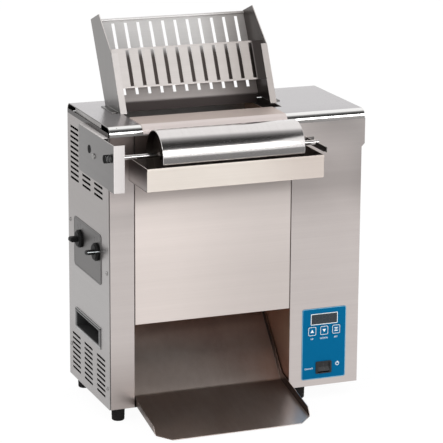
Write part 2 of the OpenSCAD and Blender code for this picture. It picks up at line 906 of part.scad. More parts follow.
// Low arm with a notch in its upper edge, a lip along its foot and a tab on the front
module right_roller_fork() color("silver") place() {
    notch = shaft_r + fit;
    high = roller_z - fork_drop;
    low = high - fork_h;
    difference() {
        block([fork_x, -fork_reach, low], [fork_x + sheet, 0, high]);
        rod_x(notch, fork_x - cut, fork_x + sheet + cut, roller_y, roller_z);
    }
    block([fork_x, -sheet, low], [fork_x + fork_tab, 0, high]);
    block([fork_x, fork_short - fork_reach, low - sheet], [fork_x + fork_lip, 0, low]);
}

// Chute

// The bent sheet's underside lies one thickness below its top along both slopes
module discharge_chute() color("silver") place() {
    under_front = tray_front + tray_t * [sin(floor_slope), -cos(floor_slope)];
    under_bend = tray_bend + tray_t / cos(half_bend) * [sin(mid_slope), -cos(mid_slope)];
    under_top = tray_top + tray_t * [sin(back_slope), -cos(back_slope)];
    lift = [0, tray_wall];
    wall_front = [tray_wall_front, floor_z(tray_wall_front)];
    difference() {
        along_x(tray_l, tray_r)
            polygon([tray_front, tray_bend, tray_top, under_top, under_bend, under_front]);
        for (s = [[tray_l, 1], [tray_r, -1]])
            translate([s[0], -tray_reach, 0])
                linear_extrude(base_z)
                    polygon([
                        [-s[1] * corner_w * corner_over, -corner_d * corner_over],
                        [s[1] * corner_w * (1 + corner_over), -corner_d * corner_over],
                        [-s[1] * corner_w * corner_over, corner_d * (1 + corner_over)]
                    ]);
    }
    for (x = [tray_l, tray_r - tray_t])
        along_x(x, x + tray_t)
            polygon([
                wall_front, tray_bend, tray_top, tray_top + lift, tray_bend + lift,
                wall_front + lift + [10, 0]
            ]);
}

// Platen

module platen() color("lightgray") place()
    difference() {
        union() {
            block([platen_l, platen_front, platen_z], [platen_r, platen_back, platen_top]);
            for (z = [platen_z + 50, platen_top - 40])
                rod_x(platen_post, chamber_l, chamber_r, platen_mid, z);
        }
        for (i = [0 : heater_count - 1])
            rod_x(heater_r + fit, platen_l - cut, platen_r + cut, platen_mid, heater_z(i));
    }

module heater_rods() color("dimgray") place()
    for (i = [0 : heater_count - 1])
        rod_x(heater_r, platen_l, house_l + heater_tail, platen_mid, heater_z(i));

module release_sheet() color([0.55, 0.42, 0.28]) place()
    along_x(platen_l + 2, platen_r - 2)
        difference() {
            translate([platen_front - release_t, platen_z + 4])
                square([platen_t + 2 * release_t, platen_h - 4 + release_t]);
            translate([platen_front, platen_z]) square([platen_t, platen_h]);
        }

// Conveyors

// Side view of a loop round the two shafts of a conveyor
module loop_outline(axis, r) {
    for (z = [drive_z, idler_z]) translate([axis, z]) circle(r = r);
    translate([axis - r, drive_z]) square([2 * r, conveyor_len]);
}

module conveyor_frame(axis, pin_y)
    difference() {
        union() {
            for (x = [plate_l, plate_r_in]) along_x(x, x + conveyor_plate) loop_outline(axis, plate_r);
            for (part = [0.25, 0.7])
                rod_x(5, plate_l, plate_r_in + 1, axis, drive_z + part * conveyor_len);
            rod_x(pin_r, cam_x, plate_l + 1, pin_y, knob_z);
        }
        rod_x(drive_shaft_r + fit, chamber_l, chamber_r, axis, drive_z);
        rod_x(idler_shaft_r + fit, chamber_l, chamber_r, axis, idler_z);
    }

module front_conveyor_frame() color("gray") place() conveyor_frame(front_axis, front_pin_y);
module rear_conveyor_frame() color("gray") place() conveyor_frame(rear_axis, rear_pin_y);

module belt(axis)
    along_x(core_l + belt_inset, core_r - belt_inset)
        difference() {
            loop_outline(axis, belt_r + belt_t);
            loop_outline(axis, belt_r);
        }

module front_belt() color([0.16, 0.15, 0.14]) place() belt(front_axis);
module rear_belt() color([0.16, 0.15, 0.14]) place() belt(rear_axis);

module drive_roller(axis) {
    rod_x(belt_roller_r, core_l, core_r, axis, drive_z);
    rod_x(drive_shaft_r, column_w - shaft_tail, gear_x + gear_w + 2, axis, drive_z);
}

module front_drive_roller() color("dimgray") place() drive_roller(front_axis);
module rear_drive_roller() color("dimgray") place() drive_roller(rear_axis);

module idler_roller(axis) {
    rod_x(belt_roller_r, core_l, core_r, axis, idler_z);
    rod_x(idler_shaft_r, plate_l - 2, chamber_r - plate_gap + 2, axis, idler_z);
}

module front_idler_roller() color("dimgray") place() idler_roller(front_axis);
module rear_idler_roller() color("dimgray") place() idler_roller(rear_axis);

// Flanged bush: its neck fills the wall, its rim lies on the wall's far side from the chamber
module bush(wall_0, wall_1, rim_0, rim_1, axis)
    difference() {
        union() {
            rod_x(bush_r, wall_0, wall_1, axis, drive_z);
            rod_x(bush_rim, rim_0, rim_1, axis, drive_z);
        }
        rod_x(drive_shaft_r + fit, min(wall_0, rim_0) - cut, max(wall_1, rim_1) + cut, axis, drive_z);
    }

module shaft_bushes() color("goldenrod") place()
    for (axis = [front_axis, rear_axis]) {
        bush(column_w - sheet - bush_t, column_w, column_w - sheet - bush_t, column_w - sheet, axis);
        bush(chamber_r, house_l + bush_t, house_l, house_l + bush_t, axis);
    }

// Straight-sided gear teeth with backlash at the pitch circle
module gear_outline() {
    tip = gear_r + 0.9 * gear_module;
    root = gear_r - 1.2 * gear_module;
    half_root = 0.71 * half_tooth;
    half_tip = 0.22 * half_tooth;
    polygon([
        for (i = [0 : gear_teeth - 1])
            for (p = [[root, -half_root], [tip, -half_tip], [tip, half_tip], [root, half_root]])
                let (a = 2 * i * half_tooth + p[1]) p[0] * [cos(a), sin(a)]
    ]);
}

module gear(y, z, bore, phase)
    difference() {
        along_x(gear_x, gear_x + gear_w) translate([y, z]) rotate(phase) gear_outline();
        rod_x(bore + fit, gear_x - cut, gear_x + gear_w + cut, y, z);
    }

// Teeth and gaps face each other along the row, so every second gear is turned half a tooth
module front_drive_gear() color("goldenrod") place() gear(front_axis, drive_z, drive_shaft_r, 0);
module front_idler_gear() color("goldenrod") place()
    gear(front_axis + 2 * gear_r, drive_z, idler_gear_pin, half_tooth);
module rear_idler_gear() color("goldenrod") place()
    gear(front_axis + 4 * gear_r, drive_z, idler_gear_pin, 0);
module rear_drive_gear() color("goldenrod") place()
    gear(rear_axis, drive_z, drive_shaft_r, half_tooth);

// The pinion stands over the rear idler gear and points a tooth at the gap there
pinion_phase = gear_teeth % 4 == 0 ? 90 + half_tooth : 90;
gearbox_gap = 6;
gearbox_x = gear_x + gear_w + gearbox_gap;
gearbox_d = 38;
gearbox_half = 38;
gearbox_under = 14;
gearbox_over = 44;
can_r = 27;
can_gap = 12;
post_r = 5;
pinion_tail = 14;

module motor_pinion() color("goldenrod") place() {
    along_x(gear_x, gear_x + gear_w)
        translate([pinion_y, pinion_z]) rotate(pinion_phase) gear_outline();
    rod_x(drive_shaft_r, gear_x - 2, gearbox_x + pinion_tail, pinion_y, pinion_z);
}

module gear_motor() color("dimgray") place() {
    low = pinion_z - gearbox_under;
    high = pinion_z + gearbox_over;
    difference() {
        block(
            [gearbox_x, pinion_y - gearbox_half, low],
            [gearbox_x + gearbox_d, pinion_y + gearbox_half, high]
        );
        rod_x(drive_shaft_r + fit, gearbox_x - cut, gearbox_x + pinion_tail + cut, pinion_y, pinion_z);
    }
    rod_x(can_r, gearbox_x + gearbox_d, house_r - can_gap, pinion_y, (low + high) / 2);
    for (y = [pinion_y - gearbox_half + post_r, pinion_y + gearbox_half - post_r])
        for (z = [low + post_r, high - post_r])
            rod_x(post_r, house_l, gearbox_x, y, z);
}

// Knobs and cams

module dial_plate() color("darkgray") place()
    difference() {
        along_x(-dial_t, 0) translate([dial_mid, knob_z - dial_drop]) round_rect(dial_w, dial_h, 8);
        for (y = [front_knob_y, rear_knob_y])
            rod_x(cam_shaft_r + fit, -dial_t - cut, cut, y, knob_z);
    }

module knob(y, turn)
    difference() {
        translate([0, y, knob_z]) rotate([turn, 0, 0]) {
            rod_x(knob_r, knob_back - knob_skirt, knob_back, 0, 0);
            along_x(-knob_reach, knob_back - knob_skirt + 1) round_rect(grip_l, grip_t, 3);
        }
        rod_x(cam_shaft_r + fit, -knob_reach + 6, 0, y, knob_z);
    }

module front_knob() color([0.06, 0.06, 0.06]) place() knob(front_knob_y, -8);
module rear_knob() color([0.06, 0.06, 0.06]) place() knob(rear_knob_y, 10);

// Spiral cam: its radius grows evenly with the angle away from the side of the pin
module cam_outline(pin_side)
    rotate(pin_side)
        polygon([
            for (i = [0 : cam_steps])
                let (a = 180 - 360 * i / cam_steps, r = cam_r - cam_rise * a * PI / 180)
                    r * [cos(a), sin(a)]
        ]);

module cam_shaft(y, pin_side) {
    rod_x(cam_shaft_r, -knob_reach + 6, column_w, y, knob_z);
    along_x(cam_x, cam_x + cam_w) translate([y, knob_z]) cam_outline(pin_side);
}

module front_cam_shaft() color("silver") place() cam_shaft(front_knob_y, 180);
module rear_cam_shaft() color("silver") place() cam_shaft(rear_knob_y, 0);

// Controls

module control_overlay() color([0, 0.43, 0.69]) place()
    difference() {
        along_y(-overlay_t, 0)
            translate([house_mid, overlay_z + overlay_h / 2]) round_rect(overlay_w, overlay_h, 4);
        translate([0, -overlay_t - cut, 0]) control_holes(overlay_t + 2 * cut, panel_fit);
    }

module display_lens() color([0.12, 0.02, 0.02]) place() {
    translate([house_mid, 0, display_z]) {
        block([-display_w / 2, -overlay_t - 0.3, -display_h / 2], [display_w / 2, sheet, display_h / 2]);
        block(
            [-display_w / 2 - 3, sheet, -display_h / 2 - 1.5],
            [display_w / 2 + 3, sheet + 1.2, display_h / 2 + 1.5]
        );
    }
}

module key(i) {
    rim_w = key_w / 2 + 1.5;
    rim_h = key_h / 2 + 1;
    translate([house_mid + i * key_pitch, 0, key_z]) {
        along_y(-key_front, sheet + key_flange) round_rect(key_w, key_h, 2);
        block([-rim_w, sheet, -rim_h], [rim_w, sheet + key_flange, rim_h]);
        rod_y(2.5, 0, sheet, key_stem, 0);
    }
}

module up_key() color([0.02, 0.36, 0.6]) place() key(-1);
module down_key() color([0.02, 0.36, 0.6]) place() key(0);
module select_key() color([0.02, 0.36, 0.6]) place() key(1);

module rocker_housing() color([0.05, 0.05, 0.05]) place()
    translate([house_mid, 0, rocker_z])
        difference() {
            union() {
                along_y(-overlay_t - bezel_t, -overlay_t) round_rect(bezel_w, bezel_h, 2);
                block(
                    [neck_in - bezel_w / 2, -overlay_t, neck_in - bezel_h / 2],
                    [bezel_w / 2 - neck_in, housing_d, bezel_h / 2 - neck_in]
                );
            }
            block(
                [-rocker_w / 2 - gap, -bezel_t - overlay_t - cut, -rocker_half - 1.6],
                [rocker_w / 2 + gap, rocker_y + 6, rocker_half + 1.6]
            );
            rod_x(rocker_pin + fit, 3.5 - bezel_w / 2, bezel_w / 2 - 3.5, rocker_y, 0);
        }

module power_rocker() color([0.03, 0.03, 0.03]) place()
    translate([house_mid, rocker_y, rocker_z]) rotate([-rocker_swing / 2, 0, 0]) {
        along_x(-rocker_w / 2, rocker_w / 2)
            polygon([
                [-6.8, -rocker_half], [-5, 0], [-6.8, rocker_half], [2, rocker_half],
                [2, -rocker_half]
            ]);
        rod_x(rocker_pin, gap + 3.5 - bezel_w / 2, bezel_w / 2 - 3.5 - gap, 0, 0);
    }

module control_board() color("darkgreen") place() {
    half = overlay_w / 2 - board_margin;
    low = rocker_z + bezel_h / 2 + board_margin;
    high = display_z + display_h / 2 + board_over;
    block([house_mid - half, board_y, low], [house_mid + half, board_y + board_t, high]);
    for (x = [house_mid - half + post_in, house_mid + half - post_in])
        for (z = [low + post_in, high - post_in])
            rod_y(board_post, x, sheet, board_y, z);
    for (i = [-1 : 1])
        translate([house_mid + i * key_pitch, 0, key_z])
            block([-switch_half, board_y - switch_d, -switch_half], [switch_half, board_y, switch_half]);
    block(
        [house_mid - display_w / 2, sheet + display_gap, display_z - display_h / 2],
        [house_mid + display_w / 2, board_y, display_z + display_h / 2]
    );
    block(
        [house_mid - chip_l, board_y + board_t, low + chip_low],
        [house_mid + chip_r, board_y + board_t + chip_d, low + chip_high]
    );
}

module power_relay() color([0.12, 0.12, 0.14]) place()
    translate([house_mid - relay_w / 2, body_d / 2, base_top]) {
        block([0, 0, 0], [relay_w, relay_d, relay_base]);
        block([relay_in, relay_in, relay_base], [relay_w - relay_in, relay_d - relay_in, relay_h]);
        for (x = [2 * relay_in, relay_w - 2 * relay_in - lug_w])
            block([x, 2 * relay_in, relay_h], [x + lug_w, relay_d - 2 * relay_in, relay_h + lug_h]);
    }

// Fan and cord gland

module cooling_fan_frame() color([0.08, 0.08, 0.08]) place()
    translate([fan_x, fan_y, fan_z]) {
        strut = 4;
        difference() {
            block([-fan_side / 2, 0, -fan_side / 2], [fan_side / 2, fan_d, fan_side / 2]);
            rod_y(fan_bore, 0, -cut, fan_d + cut, 0);
        }
        rod_y(fan_hub - 1, 0, fan_d - strut, fan_d, 0);
        rod_y(fan_pin, 0, 2, fan_d, 0);
        for (a = [45 : 90 : 315])
            rotate([0, a, 0]) block([fan_hub - 2, fan_d - strut, -2], [fan_bore + 2, fan_d, 2]);
    }

module fan_impeller() color([0.12, 0.12, 0.12]) place()
    translate([fan_x, fan_y, fan_z])
        difference() {
            union() {
                rod_y(fan_hub, 0, 3, fan_d - 5, 0);
                for (i = [0 : fan_blades - 1])
                    rotate([0, i * 360 / fan_blades, 0])
                        translate([fan_hub - 2, fan_d / 2 - 1, 0]) rotate([35, 0, 0])
                            block([0, -7, -0.8], [fan_bore - fan_hub + 0.5, 7, 0.8]);
            }
            rod_y(fan_pin + fit, 0, 0, fan_d, 0);
        }

module cord_gland() color([0.06, 0.06, 0.06]) place()
    difference() {
        union() {
            rod_y(gland_neck, gland_x, body_d - sheet - 6, body_d + 8, gland_z);
            rod_y(gland_neck + 4, gland_x, body_d - sheet - 6, body_d - sheet, gland_z, $fn = 6);
            rod_y(gland_neck + 4, gland_x, body_d, body_d + 8, gland_z, $fn = 6);
            translate([gland_x, body_d + 8, gland_z]) rotate([-90, 0, 0])
                cylinder(r1 = gland_neck + 2, r2 = gland_r + 2, h = gland_out - 8);
        }
        rod_y(gland_r, gland_x, body_d - sheet - 6 - cut, body_d + gland_out + cut, gland_z);
    }

// Hand pockets and screws

// A tub whose mouth faces -X at the origin, with a thin frame round the mouth
module pocket_tub() {
    frame_w = 4;
    half = pocket_w / 2;
    difference() {
        union() {
            block([0, -half, 0], [pocket_depth, half, pocket_h]);
            block([-2, -half - frame_w, -frame_w], [0, half + frame_w, pocket_h + frame_w]);
        }
        block(
            [-2 - cut, pocket_wall - half, pocket_wall],
            [pocket_depth - pocket_wall, half - pocket_wall, pocket_h - pocket_wall]
        );
    }
}

module hand_pockets() color([0.07, 0.07, 0.08]) place() {
    translate([0, pocket_mid, pocket_z]) pocket_tub();
    translate([body_w, pocket_mid, pocket_z]) mirror([1, 0, 0]) pocket_tub();
}

// A low domed screw head that faces -X at the origin
module screw_head()
    rotate([0, -90, 0]) cylinder(r1 = screw_r, r2 = screw_top_r, h = screw_h, $fn = 24);

module fasteners() color("gainsboro") place() {
    for (p = side_screws) {
        translate([0, p[0], base_z + p[1]]) screw_head();
        translate([body_w, p[0], base_z + p[1]]) mirror([1, 0, 0]) screw_head();
    }
    for (x = [screw_corner, house_r - screw_corner])
        for (z = [base_z + screw_corner, body_top - screw_corner])
            translate([x, body_d, z]) rotate([0, 0, -90]) screw_head();
    for (s = standoffs)
        translate([0, s[0], body_top - s[1]]) {
            rod_x(standoff_r, bracket_x + sheet, 0, 0, 0);
            rod_x(stud_r, bracket_x, bracket_x + sheet, 0, 0);
            rod_x(s[2], bracket_x - s[3], bracket_x, 0, 0);
        }
}

base_pan();
feet();
left_side_panel();
left_front_column();
left_inner_wall();
right_inner_wall();
right_side_panel();
control_front_panel();
rear_panel();
top_lid();
throat_strip();
front_cover();
feeder_left_side();
feeder_right_side();
feeder_rear_rack();
feeder_divider();
spreader_pan();
roller_drum();
roller_shaft();
left_roller_bracket();
roller_bearing_block();
right_roller_fork();
discharge_chute();
platen();
heater_rods();
release_sheet();
front_conveyor_frame();
rear_conveyor_frame();
front_belt();
rear_belt();
front_drive_roller();
rear_drive_roller();
front_idler_roller();
rear_idler_roller();
shaft_bushes();
front_drive_gear();
rear_drive_gear();
front_idler_gear();
rear_idler_gear();
gear_motor();
motor_pinion();
dial_plate();
front_knob();
rear_knob();
front_cam_shaft();
rear_cam_shaft();
control_overlay();
display_lens();
up_key();
down_key();
select_key();
rocker_housing();
power_rocker();
control_board();
power_relay();
cooling_fan_frame();
fan_impeller();
cord_gland();
hand_pockets();
fasteners();
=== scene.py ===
import math
import bmesh
import bpy
from mathutils import Matrix, Quaternion, Vector


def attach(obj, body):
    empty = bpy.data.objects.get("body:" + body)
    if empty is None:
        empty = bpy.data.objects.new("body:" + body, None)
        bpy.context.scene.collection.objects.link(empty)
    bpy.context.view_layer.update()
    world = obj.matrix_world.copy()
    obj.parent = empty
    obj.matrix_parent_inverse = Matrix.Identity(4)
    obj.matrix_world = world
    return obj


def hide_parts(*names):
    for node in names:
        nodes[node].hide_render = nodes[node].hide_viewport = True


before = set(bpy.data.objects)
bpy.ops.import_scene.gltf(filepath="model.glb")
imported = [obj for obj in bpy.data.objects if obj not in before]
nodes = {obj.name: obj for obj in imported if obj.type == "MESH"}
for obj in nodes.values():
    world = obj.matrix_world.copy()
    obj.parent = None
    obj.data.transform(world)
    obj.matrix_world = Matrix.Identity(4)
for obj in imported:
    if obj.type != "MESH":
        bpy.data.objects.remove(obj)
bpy.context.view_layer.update()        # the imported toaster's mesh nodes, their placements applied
scene = bpy.context.scene
mm = 0.001


# camera at the photograph's viewing angle

cameraSetup = {
    "stand": (-1.4758, -3.7801, 1.4068),
    "lookAt": (-0.0198, -0.0715, 0.3558),
    "lens": 187.5,
    "sensor": 36,
    "clipEnd": 60,
    "roll": 0.374,
}


def makeCamera():
    stand = Vector(cameraSetup["stand"])
    sight = Vector(cameraSetup["lookAt"]) - stand
    lens = bpy.data.cameras.new("photoCamera")
    lens.lens = cameraSetup["lens"]
    lens.sensor_width = cameraSetup["sensor"]
    lens.clip_end = cameraSetup["clipEnd"]
    camera = bpy.data.objects.new("photoCamera", lens)
    camera.location = stand
    camera.rotation_mode = "QUATERNION"
    lean = Quaternion((0, 0, 1), math.radians(cameraSetup["roll"]))
    camera.rotation_quaternion = sight.to_track_quat("-Z", "Y") @ lean
    scene.collection.objects.link(camera)
    scene.camera = camera


makeCamera()


# small helpers for node trees

def addNode(tree, kind, **settings):
    node = tree.nodes.new(kind)
    for name, value in settings.items():
        setattr(node, name, value)
    return node


def feed(tree, socket, value):
    if isinstance(value, bpy.types.NodeSocket):
        tree.links.new(value, socket)
    else:
        socket.default_value = value


def mathNode(tree, operation, first, second):
    node = addNode(tree, "ShaderNodeMath", operation=operation)
    feed(tree, node.inputs[0], first)
    feed(tree, node.inputs[1], second)
    return node.outputs[0]


def vectorNode(tree, operation, first, second):
    node = addNode(tree, "ShaderNodeVectorMath", operation=operation)
    feed(tree, node.inputs[0], first)
    feed(tree, node.inputs[1], second)
    return node.outputs["Value" if operation == "DOT_PRODUCT" else "Vector"]


def mapRange(tree, value, toLow=0.0, toHigh=1.0, fromLow=0.0, fromHigh=1.0, **settings):
    node = addNode(tree, "ShaderNodeMapRange", **settings)
    for label, setting in (("Value", value), ("From Min", fromLow), ("From Max", fromHigh),
                           ("To Min", toLow), ("To Max", toHigh)):
        feed(tree, node.inputs[label], setting)
    return node.outputs["Result"]


def mixColor(tree, share, first, second, blend="MIX"):
    node = addNode(tree, "ShaderNodeMix", data_type="RGBA", blend_type=blend)
    feed(tree, node.inputs[0], share)
    feed(tree, node.inputs[6], first)
    feed(tree, node.inputs[7], second)
    return node.outputs[2]


def rgba(color):
    return (*color, 1.0)


def newFinish(name):
    finish = bpy.data.materials.new(name)
    finish.use_nodes = True
    return finish, finish.node_tree


def makeGroup(name, inputs, outputs):
    group = bpy.data.node_groups.new(name, "ShaderNodeTree")
    for label, kind, value in inputs:
        socket = group.interface.new_socket(label, in_out="INPUT", socket_type=kind)
        socket.default_value = value
    for label, kind in outputs:
        group.interface.new_socket(label, in_out="OUTPUT", socket_type=kind)
    return group, group.nodes.new("NodeGroupInput"), group.nodes.new("NodeGroupOutput")


def useGroup(tree, group, **values):
    node = addNode(tree, "ShaderNodeGroup", node_tree=group)
    for label, value in values.items():
        feed(tree, node.inputs[label], value)
    return node


def noise(tree, vector, scale, detail, roughness=0.55):
    node = addNode(tree, "ShaderNodeTexNoise")
    feed(tree, node.inputs["Vector"], vector)
    node.inputs["Scale"].default_value = scale
    node.inputs["Detail"].default_value = detail
    node.inputs["Roughness"].default_value = roughness
    return node.outputs[0]


# grain: streaks drawn out along one axis, with slow clouds of handling over them

def makeGrain():
    group, start, end = makeGroup(
        "grain",
        [("Stretch", "NodeSocketVector", (4, 700, 700)), ("Clouds", "NodeSocketFloat", 0.5)],
        [("Streak", "NodeSocketFloat"), ("Cloud", "NodeSocketFloat")],
    )
    place = addNode(group, "ShaderNodeTexCoord").outputs["Object"]
    scaled = vectorNode(group, "MULTIPLY", place, start.outputs["Stretch"])
    fine = noise(group, scaled, 1.0, 3)
    wide = noise(group, scaled, 0.14, 2)
    streak = mathNode(group, "MULTIPLY", mathNode(group, "ADD", fine, wide), 0.5)
    slow = mathNode(group, "MULTIPLY", noise(group, place, 7.0, 3), 0.7)
    smear = mathNode(group, "MULTIPLY", noise(group, place, 31.0, 4, 0.65), 0.3)
    offset = mathNode(group, "SUBTRACT", mathNode(group, "ADD", slow, smear), 0.5)
    centred = mathNode(group, "MULTIPLY", offset, start.outputs["Clouds"])
    feed(group, end.inputs["Streak"], streak)
    feed(group, end.inputs["Cloud"], mathNode(group, "ADD", centred, 0.5))
    return group


# soft edges: a rounded normal along each edge, and a mask of where the edges are

fullEdge = 0.25         # bend of the normal at which an edge counts in full


def makeSoftEdges():
    group, start, end = makeGroup(
        "softEdges",
        [("Radius", "NodeSocketFloat", 0.0008)],
        [("Normal", "NodeSocketVector"), ("Edge", "NodeSocketFloat")],
    )
    bevel = addNode(group, "ShaderNodeBevel", samples=4)
    feed(group, bevel.inputs["Radius"], start.outputs["Radius"])
    true = addNode(group, "ShaderNodeNewGeometry").outputs["Normal"]
    bent = mathNode(group, "SUBTRACT", 1.0, vectorNode(group, "DOT_PRODUCT", bevel.outputs[0], true))
    feed(group, end.inputs["Normal"], bevel.outputs[0])
    feed(group, end.inputs["Edge"], mapRange(group, bent, fromHigh=fullEdge))
    return group


# fade: a smooth ramp from 0 to 1 along a direction, on all faces or those turned one way; most finishes use
# it to paint light and shade into their colour

def makeFade():
    group, start, end = makeGroup(
        "fade",
        [("Along", "NodeSocketVector", (0, 0, 1)), ("Low", "NodeSocketFloat", 0.0),
         ("High", "NodeSocketFloat", 1.0), ("Facing", "NodeSocketVector", (0, 0, 0))],
        [("Fade", "NodeSocketFloat")],
    )
    place = addNode(group, "ShaderNodeTexCoord").outputs["Object"]
    run = vectorNode(group, "DOT_PRODUCT", place, start.outputs["Along"])
    ramp = mapRange(group, run, 0.0, 1.0, start.outputs["Low"], start.outputs["High"],
                    interpolation_type="SMOOTHSTEP")
    normal = addNode(group, "ShaderNodeNewGeometry").outputs["Normal"]
    turned = vectorNode(group, "DOT_PRODUCT", normal, start.outputs["Facing"])
    chosen = mathNode(group, "GREATER_THAN", turned, -0.001)
    feed(group, end.inputs["Fade"], mathNode(group, "MULTIPLY", ramp, chosen))
    return group


grain = makeGrain()
softEdges = makeSoftEdges()
fade = makeFade()


# one maker for every finish: two tones blended along the grain, painted light and shade laid over them by
# the fades, paler or darker at the edges

toneSpan = (0.3, 0.7)   # part of the grain's values over which the two tones blend
plainSockets = (("Metallic", "metal", 0.0), ("Specular IOR Level", "gloss", 0.5),
                ("Coat Weight", "coat", 0.0), ("Coat Roughness", "coatRough", 0.1))


def makeFinish(name, look):
    finish, tree = newFinish(name)
    shader = tree.nodes["Principled BSDF"]
    streaks = useGroup(tree, grain, Stretch=look["stretch"], Clouds=look.get("clouds", 0.5))
    edges = useGroup(tree, softEdges, Radius=look.get("edge", 0.8) * mm)
    streak, cloud = streaks.outputs["Streak"], streaks.outputs["Cloud"]
    share = mathNode(tree, "MULTIPLY", mathNode(tree, "ADD", streak, cloud), 0.5)
    spread = mapRange(tree, share, fromLow=toneSpan[0], fromHigh=toneSpan[1])
    color = mixColor(tree, spread, rgba(look["dark"]), rgba(look["light"]))
    # each fade multiplies the colour by its tone over the ramp; most of them are painted light and shade,
    # noted at each finish
    for along, low, high, tone in look.get("fades", ()):
        shade = useGroup(tree, fade, Along=along, Low=low, High=high, Facing=look.get("facing", (0, 0, 0)))
        shaded = mixColor(tree, 1.0, color, rgba(tone), "MULTIPLY")
        color = mixColor(tree, shade.outputs["Fade"], color, shaded)
    # edges blended to the rim tone: partly edge wear, partly a painted edge highlight
    if "rim" in look:
        amount = mathNode(tree, "MULTIPLY", edges.outputs["Edge"], look.get("wear", 0.5))
        color = mixColor(tree, amount, color, rgba(look["rim"]))
    feed(tree, shader.inputs["Base Color"], color)
    feed(tree, shader.inputs["Roughness"], mapRange(tree, share, *look["rough"]))
    for socket, key, usual in plainSockets:
        shader.inputs[socket].default_value = look.get(key, usual)
    bump = addNode(tree, "ShaderNodeBump")
    bump.inputs["Strength"].default_value = look.get("bump", 0.05)
    bump.inputs["Distance"].default_value = look.get("depth", 0.3) * mm
    feed(tree, bump.inputs["Height"], streak)
    feed(tree, bump.inputs["Normal"], edges.outputs["Normal"])
    feed(tree, shader.inputs["Normal"], bump.outputs["Normal"])
    return finish


def tones(dark, light, stretch, rough, **more):
    return {"dark": dark, "light": light, "stretch": stretch, "rough": rough, **more}


alongX, alongY, alongZ = (5, 600, 600), (600, 5, 600), (600, 600, 5)
evenGrain, printGrain = (900, 900, 900), (1500, 1500, 1500)
up, down, rightward, leftward, forward = (0, 0, 1), (0, 0, -1), (1, 0, 0), (-1, 0, 0), (0, -1, 0)
